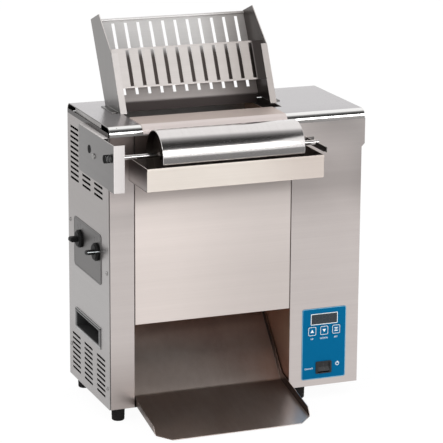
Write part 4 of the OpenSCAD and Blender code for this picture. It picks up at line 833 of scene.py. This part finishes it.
def makeBearing():
    (neckRun, neck), (boreRun, bore) = bearing["neck"], bearing["bore"]
    groove, ring, ease = bearing["groove"], bearing["ring"], bearing["round"]
    outline = [(boreRun, 0), (boreRun, bore), (0, bore), (0, neck), (neckRun, neck), (neckRun, groove)]
    for start in bearing["rings"]:
        stop = start + bearing["ringWide"]
        outline += [(start, groove), (start, ring - ease), (start + ease, ring), (stop - ease, ring),
                    (stop, ring - ease), (stop, groove)]
    outline += [(bearing["end"], groove - 1), (bearing["end"], 0)]
    bm = spinShape(outline, bearing["at"], (-1, 0, 0), 40)
    piece = newPiece("bearingCap", bm, "capPlastic", "toaster_body",
                     ["roller_bearing_block"])
    axis, deep = toFrame @ Vector(bearing["at"]), (groove + 0.2) * mm

    def inGroove(face):
        return (face.center - axis).yz.length < deep and abs(face.normal.x) < 0.3

    alsoFinish(piece, "capGap", inGroove)


# fork on the right: a low arm with a round notch for the shaft, a lip under it and a tab on the front

fork = {"left": 376, "reach": -87, "low": 488.8, "high": 497.8, "sheet": 1.5, "notch": (-46, 498.8, 4.05),
        "notchSteps": 12, "lip": (5, -75), "tab": 14, "round": 0.5}


def makeFork():
    left, reach, low, high, sheet, steps, ease = pick(fork, "left reach low high sheet notchSteps round")
    middle, level, radius = fork["notch"]
    rise = math.asin((level - high) / radius)
    arm = [(left, 0, high), (left, 0, low), (left, reach, low), (left, reach, high)]
    for step in range(steps + 1):
        turn = math.pi - rise - (math.pi - 2 * rise) * step / steps
        arm.append((left, middle + radius * math.cos(turn), level - radius * math.sin(turn)))
    bm = flatPlate(arm, (sheet, 0, 0))
    wide, start = fork["lip"]
    joinInto(bm, roundBlock((left, start, low - sheet), (left + wide, 0, low), ease))
    newPiece("rollerFork", bm, "forkSteel", "toaster_body", ["right_roller_fork"])
    tab = roundBlock((left, -sheet, low), (left + fork["tab"], 0, high), ease)
    newPiece("forkTab", tab, "forkSteel", "toaster_body")


# rubber feet with two grip grooves each

feet = {"places": [(22, 18), (22, 213), (374, 18), (374, 213)],
        "outline": [(0, 0), (0, 10.2), (0.6, 11.0), (1.5, 11.5), (6, 11.75), (6.6, 11.2), (7.6, 11.2),
                    (8.2, 11.85), (12.5, 11.95), (13.1, 11.4), (14.1, 11.4), (14.7, 12.0), (23.6, 12.2),
                    (24.6, 11.9), (25, 11.2), (25, 3), (29.5, 3), (30, 2.6), (30, 0)]}


def makeFeet():
    bm = bmesh.new()
    for x, y in feet["places"]:
        joinInto(bm, spinShape(feet["outline"], (x, y, 0), (0, 0, 1), 40))
    newPiece("rubberFeet", bm, "footRubber", "toaster_body", ["feet"])


# screws: domed heads with a drive recess, and two standoffs for the bracket, one capped in black

screws = {"dome": [(0, 0), (0, 4), (0.5, 4), (1.1, 3.6), (1.6, 2.8), (1.8, 2.0), (1.8, 1.5), (0.9, 1.25),
                   (0.9, 0)],
          "spacer": [(0, 0), (0, 6), (10.5, 6), (10.5, 3), (12, 3), (12, 0)],
          "head": [(11.9, 0), (12, 5), (13.4, 5), (14.6, 4.5), (15.2, 3.6), (15.5, 2.4), (15.5, 2.0),
                   (14.2, 1.6), (14.2, 0)],
          "plug": [(11.9, 0), (12, 7.5), (12.6, 7.5), (12.9, 7.0), (13, 6.2), (13, 2.2), (12.5, 1.8),
                   (12.5, 0)],
          "sides": [(12, 277), (12, 62), (221, 325), (221, 85)], "rightFace": 485,
          "rear": [(15, 40), (15, 510), (468.5, 40), (468.5, 510)], "rearFace": 231,
          "upper": (68, 491.4), "lower": (41.6, 484.2)}


def makeScrews():
    bm = bmesh.new()
    for y, z in screws["sides"]:
        joinInto(bm, spinShape(screws["dome"], (0, y, z), (-1, 0, 0), 24))
        joinInto(bm, spinShape(screws["dome"], (screws["rightFace"], y, z), (1, 0, 0), 24))
    for x, z in screws["rear"]:
        joinInto(bm, spinShape(screws["dome"], (x, screws["rearFace"], z), (0, 1, 0), 24))
    for place in (screws["upper"], screws["lower"]):
        joinInto(bm, spinShape(screws["spacer"], (0, *place), (-1, 0, 0), 32))
    joinInto(bm, spinShape(screws["head"], (0, *screws["lower"]), (-1, 0, 0), 32))
    newPiece("screws", bm, "screwSteel", "toaster_body", ["fasteners"])
    plug = spinShape(screws["plug"], (0, *screws["upper"]), (-1, 0, 0), 32)
    newPiece("bracketPlug", plug, "plugAndShadeBlack", "toaster_body")


# setting knobs: a stepped skirt with a bar grip, and a pale line down one end of the bar and over the skirt

knobs = {"height": 304,
         "skirt": [(1.3, 0), (1.3, 15.8), (1.9, 16.5), (5.2, 16.5), (6.0, 15.9), (6.6, 14.6), (8.3, 13.8),
                   (8.3, 0)],
         "grip": ((-22, -9.5, -4.6), (-7.3, 9.5, 4.6)), "gripRound": 2.6, "taper": 0.82, "taperFrom": -20,
         "line": [(-21.5, -7), (-21.5, -9), (-20, -9.7), (-8.5, -9.7), (-8.5, -13.9), (-6.75, -14.8),
                  (-6.15, -16.05), (-5.3, -16.65), (-1.9, -16.65), (-1.9, -8)], "lineWide": 1.1,
         "front": {"y": 62, "turn": -15, "pointer": 0, "body": "front_setting", "node": "front_knob"},
         "rear": {"y": 158, "turn": -5, "pointer": 180, "body": "rear_setting", "node": "rear_knob"}}


def makeKnob(side):
    knob = knobs[side]
    bm = spinShape(knobs["skirt"], (0, 0, 0), (-1, 0, 0), 48)
    grip = roundBlock(*knobs["grip"], knobs["gripRound"], 4)
    tip = [vert for vert in grip.verts if vert.co.x < knobs["taperFrom"]]
    bmesh.ops.scale(grip, verts=tip, vec=(1, 1, knobs["taper"]))
    joinInto(bm, grip)
    place = Matrix.Translation((0, knob["y"], knobs["height"])) @ turnX(knob["turn"])
    bmesh.ops.transform(bm, matrix=place, verts=bm.verts)
    newPiece(side + "SettingKnob", bm, "knobPlastic", knob["body"], [knob["node"]])
    half = knobs["lineWide"] / 2
    line = flatPlate([(x, y, -half) for x, y in knobs["line"]], (0, 0, 2 * half))
    bmesh.ops.transform(line, matrix=place @ turnX(knob["pointer"]), verts=line.verts)
    newPiece(side + "KnobPointer", line, "whiteInk", knob["body"])


# dial plate print: a border line, and ticks with plain numbers over each knob

dial = {"middle": (118.5, 292.5), "size": (149, 87), "corner": 6, "line": 0.4, "face": -1, "print": 0.12,
        "knobs": (62, 158), "height": 304, "ticks": 5, "sweep": 140, "tickAt": 19.5, "tickLong": 3,
        "tickWide": 0.8, "numberAt": 26, "numberSize": 6}


def makeDialPrint():
    bm = bmesh.new()
    y, z = dial["middle"]
    addFrame(bm, dial, dial["print"], Matrix.Translation((dial["face"], y, z)) @ faceLeft)
    for knobY in dial["knobs"]:
        centre = Matrix.Translation((dial["face"], knobY, dial["height"]))
        for index in range(dial["ticks"]):
            share = index / (dial["ticks"] - 1) - 0.5
            swing = math.radians(dial["sweep"] * share)
            turn = Matrix.Rotation(swing, 4, "X")
            half, start, ink = dial["tickWide"] / 2, dial["tickAt"], dial["print"]
            stop, out = start + dial["tickLong"], dial["numberAt"]
            tick = [(0, -half, start), (0, half, start), (0, half, stop), (0, -half, stop)]
            joinInto(bm, flatPlate(tick, (-ink, 0, 0)), centre @ turn)
            lift = Matrix.Translation((0, -math.sin(swing) * out, math.cos(swing) * out))
            number = wordShape(str(index + 1), dial["numberSize"], ink)
            joinInto(bm, number, centre @ lift @ faceLeft)
    newPiece("dialPrint", bm, "darkInk", "toaster_body")


# control print: pale border and display frame, key outlines with arrows, plain words

controls = {"middle": 416.7, "overlay": {"z": 105.75, "size": (87.2, 135.7), "corner": 3.6, "line": 0.9},
            "display": {"z": 153, "size": (53.6, 21.1), "corner": 1.2, "line": 1.1, "face": -0.9},
            "keys": {"z": 130.7, "pitch": 24, "size": (15.4, 16.4), "corner": 2.4, "line": 0.8,
                     "face": -1.6, "arrowRound": 0.4,
                     "arrow": [(-3.4, -2.6, 0), (3.4, -2.6, 0), (0, 3.4, 0)],
                     "bars": ((2.7, 3.6), (0, 2.4), (-2.7, 3.6)), "barHalf": 0.7},
            "words": {"below": 15.2, "size": 4.6, "face": -0.6, "text": ("UP", "DOWN", "SET")},
            "switch": {"z": 59.5, "side": 29.5, "size": 4.6, "text": "ON/OFF", "drop": 1},
            "power": {"shift": 1.5, "lift": 4, "ring": (7.4, 7.4, 3.6, 1.0), "bar": (0.6, 5.2)},
            "print": 0.12, "inkRound": 0.05}


def frontPlace(x, y, z):
    return Matrix.Translation((x, y, z)) @ faceFront


def makeControlPrint():
    middle, ink = controls["middle"], controls["print"]
    overlay, display, words, switch, power = pick(controls, "overlay display words switch power")
    face = words["face"]
    bm = bmesh.new()
    addFrame(bm, overlay, ink, frontPlace(middle, face, overlay["z"]))
    newPiece("overlayBorder", bm, "paleInk", "toaster_body")
    bm = bmesh.new()
    addFrame(bm, display, 2 * ink, frontPlace(middle, display["face"], display["z"]))
    for index, text in enumerate(words["text"]):
        x = middle + (index - 1) * controls["keys"]["pitch"]
        joinInto(bm, wordShape(text, words["size"], ink),
                 frontPlace(x, face, controls["keys"]["z"] - words["below"]))
    joinInto(bm, wordShape(switch["text"], switch["size"], ink),
             frontPlace(middle - switch["side"], face, switch["z"] - switch["drop"]))
    place = frontPlace(middle + switch["side"] - power["shift"], face, switch["z"] + power["lift"])
    joinInto(bm, ringLine(*power["ring"], ink), place)
    half, top = power["bar"]
    addBar(bm, (-half, half), (half, top), 1.6 * ink, controls["inkRound"], place)
    newPiece("controlWords", bm, "whiteInk", "toaster_body")


def makeKeyPrint():
    keys, ink, ease = pick(controls, "keys print inkRound")
    half = keys["barHalf"]
    for index, name in enumerate(("up", "down", "select")):
        place = frontPlace(controls["middle"] + (index - 1) * keys["pitch"], keys["face"], keys["z"])
        bm = bmesh.new()
        addFrame(bm, keys, ink, place)
        if name == "select":
            for row, wide in keys["bars"]:
                addBar(bm, (-wide, row - half), (wide, row + half), ink, ease, place)
        else:
            turn = Matrix.Rotation(math.pi if name == "down" else 0, 4, "Z")
            arrow = flatPlate(keys["arrow"], (0, 0, ink), (0, 1, 2), keys["arrowRound"], 2)
            joinInto(bm, arrow, place @ turn)
        newPiece(name + "KeyPrint", bm, "whiteInk", name + "_button")


# unlit digits behind the display window

digits = {"middle": (416.7, 153), "face": -0.9, "count": 3, "pitch": 14, "wide": 7, "high": 12, "bar": 1.1,
          "gap": 1, "round": 0.02, "print": 0.06}


def makeDigits():
    bm = bmesh.new()
    x, z = digits["middle"]
    wide, high, bar = (value / 2 for value in pick(digits, "wide high bar"))
    gap, ease, ink = pick(digits, "gap round print")
    for index in range(digits["count"]):
        place = frontPlace(x + (index - (digits["count"] - 1) / 2) * digits["pitch"], digits["face"], z)
        for level in (-high, 0, high):
            addBar(bm, (gap - wide, level - bar), (wide - gap, level + bar), ink, ease, place)
        for side in (-wide, wide):
            for low, top in ((gap - high, -gap), (gap, high - gap)):
                addBar(bm, (side - bar, low), (side + bar, top), ink, ease, place)
    newPiece("unlitDigits", bm, "dimSegments", "toaster_body")


# rocker marks: a bar on the upper half and a ring on the lower half

rockerMarks = {"axis": (416.7, 4.3, 59.5), "tilt": -9, "slope": 12.2, "out": -5.9, "up": 4.2, "ink": 0.1,
               "bar": (0.45, 2), "barRound": 0.04, "ring": (4, 4, 1.95, 0.7)}


def makeRockerMarks():
    bm = bmesh.new()
    out, rise, ink, ease = pick(rockerMarks, "out up ink barRound")
    wide, high = rockerMarks["bar"]
    hang = Matrix.Translation(rockerMarks["axis"]) @ turnX(rockerMarks["tilt"])
    for side in (1, -1):
        shift = Matrix.Translation((0, out, side * rise))
        place = hang @ shift @ turnX(side * rockerMarks["slope"]) @ faceFront
        if side > 0:
            addBar(bm, (-wide, -high), (wide, high), ink, ease, place)
        else:
            joinInto(bm, ringLine(*rockerMarks["ring"], ink), place)
    newPiece("rockerMarks", bm, "dimMark", "rocker")


# feeder sides: a kneed plate with its front edge folded in ahead of the divider, and a tab on the lid

feeder = {"outline": [(102, 542), (152, 644), (222, 703), (268, 686), (187, 542)], "sheet": 1.5,
          "round": 1.0, "fold": 12, "foldOut": 1.7, "tab": 12, "tabFrom": 114, "tabTo": 175,
          "tabRound": 0.4,
          "left": {"outer": 58, "inward": 1, "node": "feeder_left_side"},
          "right": {"outer": 359, "inward": -1, "node": "feeder_right_side"}}


def makeFeederSide(name):
    side, sheet = feeder[name], feeder["sheet"]
    outer, inward = side["outer"], side["inward"]
    outline = [(outer, *point) for point in feeder["outline"]]
    bm = flatPlate(outline, (inward * sheet, 0, 0), (2, 3), feeder["round"])
    (footY, footZ), (kneeY, kneeZ) = feeder["outline"][:2]
    near, far = -feeder["foldOut"], sheet - feeder["foldOut"]
    edge = [(outer, footY + near, footZ), (outer, kneeY + near, kneeZ), (outer, kneeY + far, kneeZ),
            (outer, footY + far, footZ)]
    joinInto(bm, flatPlate(edge, (inward * feeder["fold"], 0, 0)))
    ends = sorted((outer - inward * feeder["tab"], outer + inward * sheet))
    tabLow, tabHigh = (ends[0], feeder["tabFrom"], footZ), (ends[1], feeder["tabTo"], footZ + sheet)
    joinInto(bm, roundBlock(tabLow, tabHigh, feeder["tabRound"]))
    piece = newPiece(name + "FeederSide", bm, "feederSteel", "feeder", [side["node"]])
    aboveTab = (footZ + 3) * mm
    # front-facing folds take the painted light copy; the inner faces take the painted shade
    alsoFinish(piece, "foldLitSteel", lambda face: face.normal.y < -0.5 and face.center.z > aboveTab)
    alsoFinish(piece, "feederShade", lambda face: face.normal.x * inward > 0.8)


# feeder divider: a leaning sheet with upright slots, its foot folded back

divider = {"left": 59, "right": 352, "low": (122.59, 584), "high": (154.94, 650), "sheet": 1.5, "slots": 11,
           "first": 88.4, "pitch": 23.7, "wide": 7, "margin": 0.045, "foot": (69, 348, 8), "footRound": 0.3}


def makeDivider():
    low, high = Vector((0, *divider["low"])), Vector((0, *divider["high"]))
    margin, wide, sheet = pick(divider, "margin wide sheet")
    columns = [divider["left"]]
    for index in range(divider["slots"]):
        start = divider["first"] + index * divider["pitch"] - wide / 2
        columns += [start, start + wide]
    columns.append(divider["right"])
    bm = bmesh.new()
    grid = [[bm.verts.new(low.lerp(high, share) + Vector((x, 0, 0))) for x in columns]
            for share in (0, margin, 1 - margin, 1)]
    for row in range(3):
        for column in range(len(columns) - 1):
            if row != 1 or column % 2 == 0:
                below, above = grid[row], grid[row + 1]
                bm.faces.new((below[column], below[column + 1], above[column + 1], above[column]))
    drawUp(bm, (0, -sheet, 0))
    start, stop, deep = divider["foot"]
    front, level = divider["low"]
    footLow, footHigh = (start, front - sheet, level), (stop, front + deep, level + sheet)
    joinInto(bm, roundBlock(footLow, footHigh, divider["footRound"]))
    newPiece("feederDivider", bm, "dividerSteel", "feeder", ["feeder_divider"])


# spot welds: shallow dimples where the feeder's sheets are joined

welds = {"left": 58, "right": 359, "places": [(118, 552), (165, 552), (150, 628), (214, 684)],
         "outline": [(-0.1, 0), (-0.1, 2.6), (0.12, 2.3), (0.25, 1.4), (0.2, 0)]}


def makeWelds():
    bm = bmesh.new()
    for y, z in welds["places"]:
        for x, turn in ((welds["left"], -1), (welds["right"], 1)):
            joinInto(bm, spinShape(welds["outline"], (x, y, z), (turn, 0, 0), 20))
    newPiece("feederWelds", bm, "weldSteel", "feeder")


for make in (makeRoller, makeTrough, makeStrip, makeLid, makeChute, makeBracket, makeBearing, makeFork):
    make()
print("sheets and roller built")
makeFeet()
makeScrews()
makeKnob("front")
makeKnob("rear")
for make in (makeDialPrint, makeControlPrint, makeKeyPrint, makeDigits, makeRockerMarks):
    make()
print("feet, screws and controls built")
makeFeederSide("left")
makeFeederSide("right")
makeDivider()
makeWelds()
print("feeder built")


# stage: pale floor, white surround, soft boxes and two cards for the steel to mirror

stageSetup = {
    "floorSize": 16.0,
    "floorLevel": -0.0005,
    "floorTone": 0.92,
    "floorRough": 0.9,
    "floorGlow": 0.93,
    "glowStrength": 1.025,
    "ambient": 0.78,
    "frontBox": {"at": (0.6, -3.6, 1.58), "aim": (0, 0, 0.4), "size": (3.4, 1.1), "watts": 60},
    "leftBox": {"at": (-2.9, -1.2, 2.6), "aim": (0, 0, 0.3), "size": (1.8, 1.8), "watts": 38},
    "skyCard": {"at": (0, -2.35, 2.9), "size": (5.0, 4.8), "upright": False,
                "stops": [(0.0, 0.95), (0.1, 0.6), (0.2, 0.12), (0.3, 0.05), (0.56, 0.035), (0.66, 0.05),
                          (0.77, 0.17), (0.89, 0.45), (0.965, 0.85), (1.0, 1.0)]},
    "lowCard": {"at": (0.08, -0.4, 0.401), "size": (0.56, 0.175), "upright": True,
                "stops": [(0.0, 0.25), (1.0, 0.25)]},
}


def cameraOrGlossy(tree):
    path = addNode(tree, "ShaderNodeLightPath")
    seen = mathNode(tree, "MAXIMUM", path.outputs["Is Camera Ray"], path.outputs["Is Glossy Ray"])
    return mathNode(tree, "MAXIMUM", seen, path.outputs["Is Transmission Ray"])


def makeWorld():
    world = bpy.data.worlds.new("whiteStudio")
    world.use_nodes = True
    tree = world.node_tree
    background = tree.nodes["Background"]
    background.inputs["Color"].default_value = (1, 1, 1, 1)
    strength = mapRange(tree, cameraOrGlossy(tree), stageSetup["ambient"], 1.0)
    feed(tree, background.inputs["Strength"], strength)
    scene.world = world


def flatPiece(name, width, depth, at, finish, upright=False):
    bm = flatGrid(width, depth)
    if upright:
        bmesh.ops.transform(bm, verts=bm.verts, matrix=faceFront)
    bmesh.ops.translate(bm, verts=bm.verts, vec=at)
    plate = placeMesh(name, bm, finish)
    return plate


def makeFloor():
    finish, tree = newFinish("paleFloor")
    shader = tree.nodes["Principled BSDF"]
    shader.inputs["Base Color"].default_value = rgba((stageSetup["floorTone"],) * 3)
    shader.inputs["Roughness"].default_value = stageSetup["floorRough"]
    glow = addNode(tree, "ShaderNodeEmission")
    glow.inputs["Strength"].default_value = stageSetup["glowStrength"]
    mix = addNode(tree, "ShaderNodeMixShader")
    share = mathNode(tree, "MULTIPLY", cameraOrGlossy(tree), stageSetup["floorGlow"])
    feed(tree, mix.inputs[0], share)
    tree.links.new(shader.outputs[0], mix.inputs[1])
    tree.links.new(glow.outputs[0], mix.inputs[2])
    tree.links.new(mix.outputs[0], tree.nodes["Material Output"].inputs["Surface"])
    size = stageSetup["floorSize"]
    flatPiece("paleFloor", size, size, (0, 0, stageSetup["floorLevel"]), finish)


def makeCard(name):
    card = stageSetup[name]
    finish, tree = newFinish(name)
    split = addNode(tree, "ShaderNodeSeparateXYZ")
    feed(tree, split.inputs[0], addNode(tree, "ShaderNodeTexCoord").outputs["Object"])
    middle, half = card["at"][1], card["size"][1] / 2
    share = mapRange(tree, split.outputs["Y"], fromLow=middle - half, fromHigh=middle + half)
    ramp = addNode(tree, "ShaderNodeValToRGB")
    stops = ramp.color_ramp.elements
    stops.remove(stops[1])
    for index, (place, tone) in enumerate(card["stops"]):
        stop = stops[0] if index == 0 else stops.new(place)
        stop.position = place
        stop.color = rgba((tone,) * 3)
    feed(tree, ramp.inputs[0], share)
    glow = addNode(tree, "ShaderNodeEmission")
    feed(tree, glow.inputs["Color"], ramp.outputs["Color"])
    tree.links.new(glow.outputs[0], tree.nodes["Material Output"].inputs["Surface"])
    plate = flatPiece(name, *card["size"], card["at"], finish, card["upright"])
    plate.visible_camera = False        # only the steel sees it
    plate.visible_diffuse = False
    plate.visible_shadow = False


def makeBox(name):
    box = stageSetup[name]
    lamp = bpy.data.lights.new(name, "AREA")
    lamp.shape = "RECTANGLE"
    lamp.size, lamp.size_y = box["size"]
    lamp.energy = box["watts"]
    item = bpy.data.objects.new(name, lamp)
    item.location = box["at"]
    item.rotation_mode = "QUATERNION"
    item.rotation_quaternion = (Vector(box["aim"]) - Vector(box["at"])).to_track_quat("-Z", "Y")
    scene.collection.objects.link(item)


makeWorld()
makeFloor()
for cardName in ("skyCard", "lowCard"):
    makeCard(cardName)
for boxName in ("frontBox", "leftBox"):
    makeBox(boxName)
scene.view_settings.view_transform = "Standard"
print("stage ready")
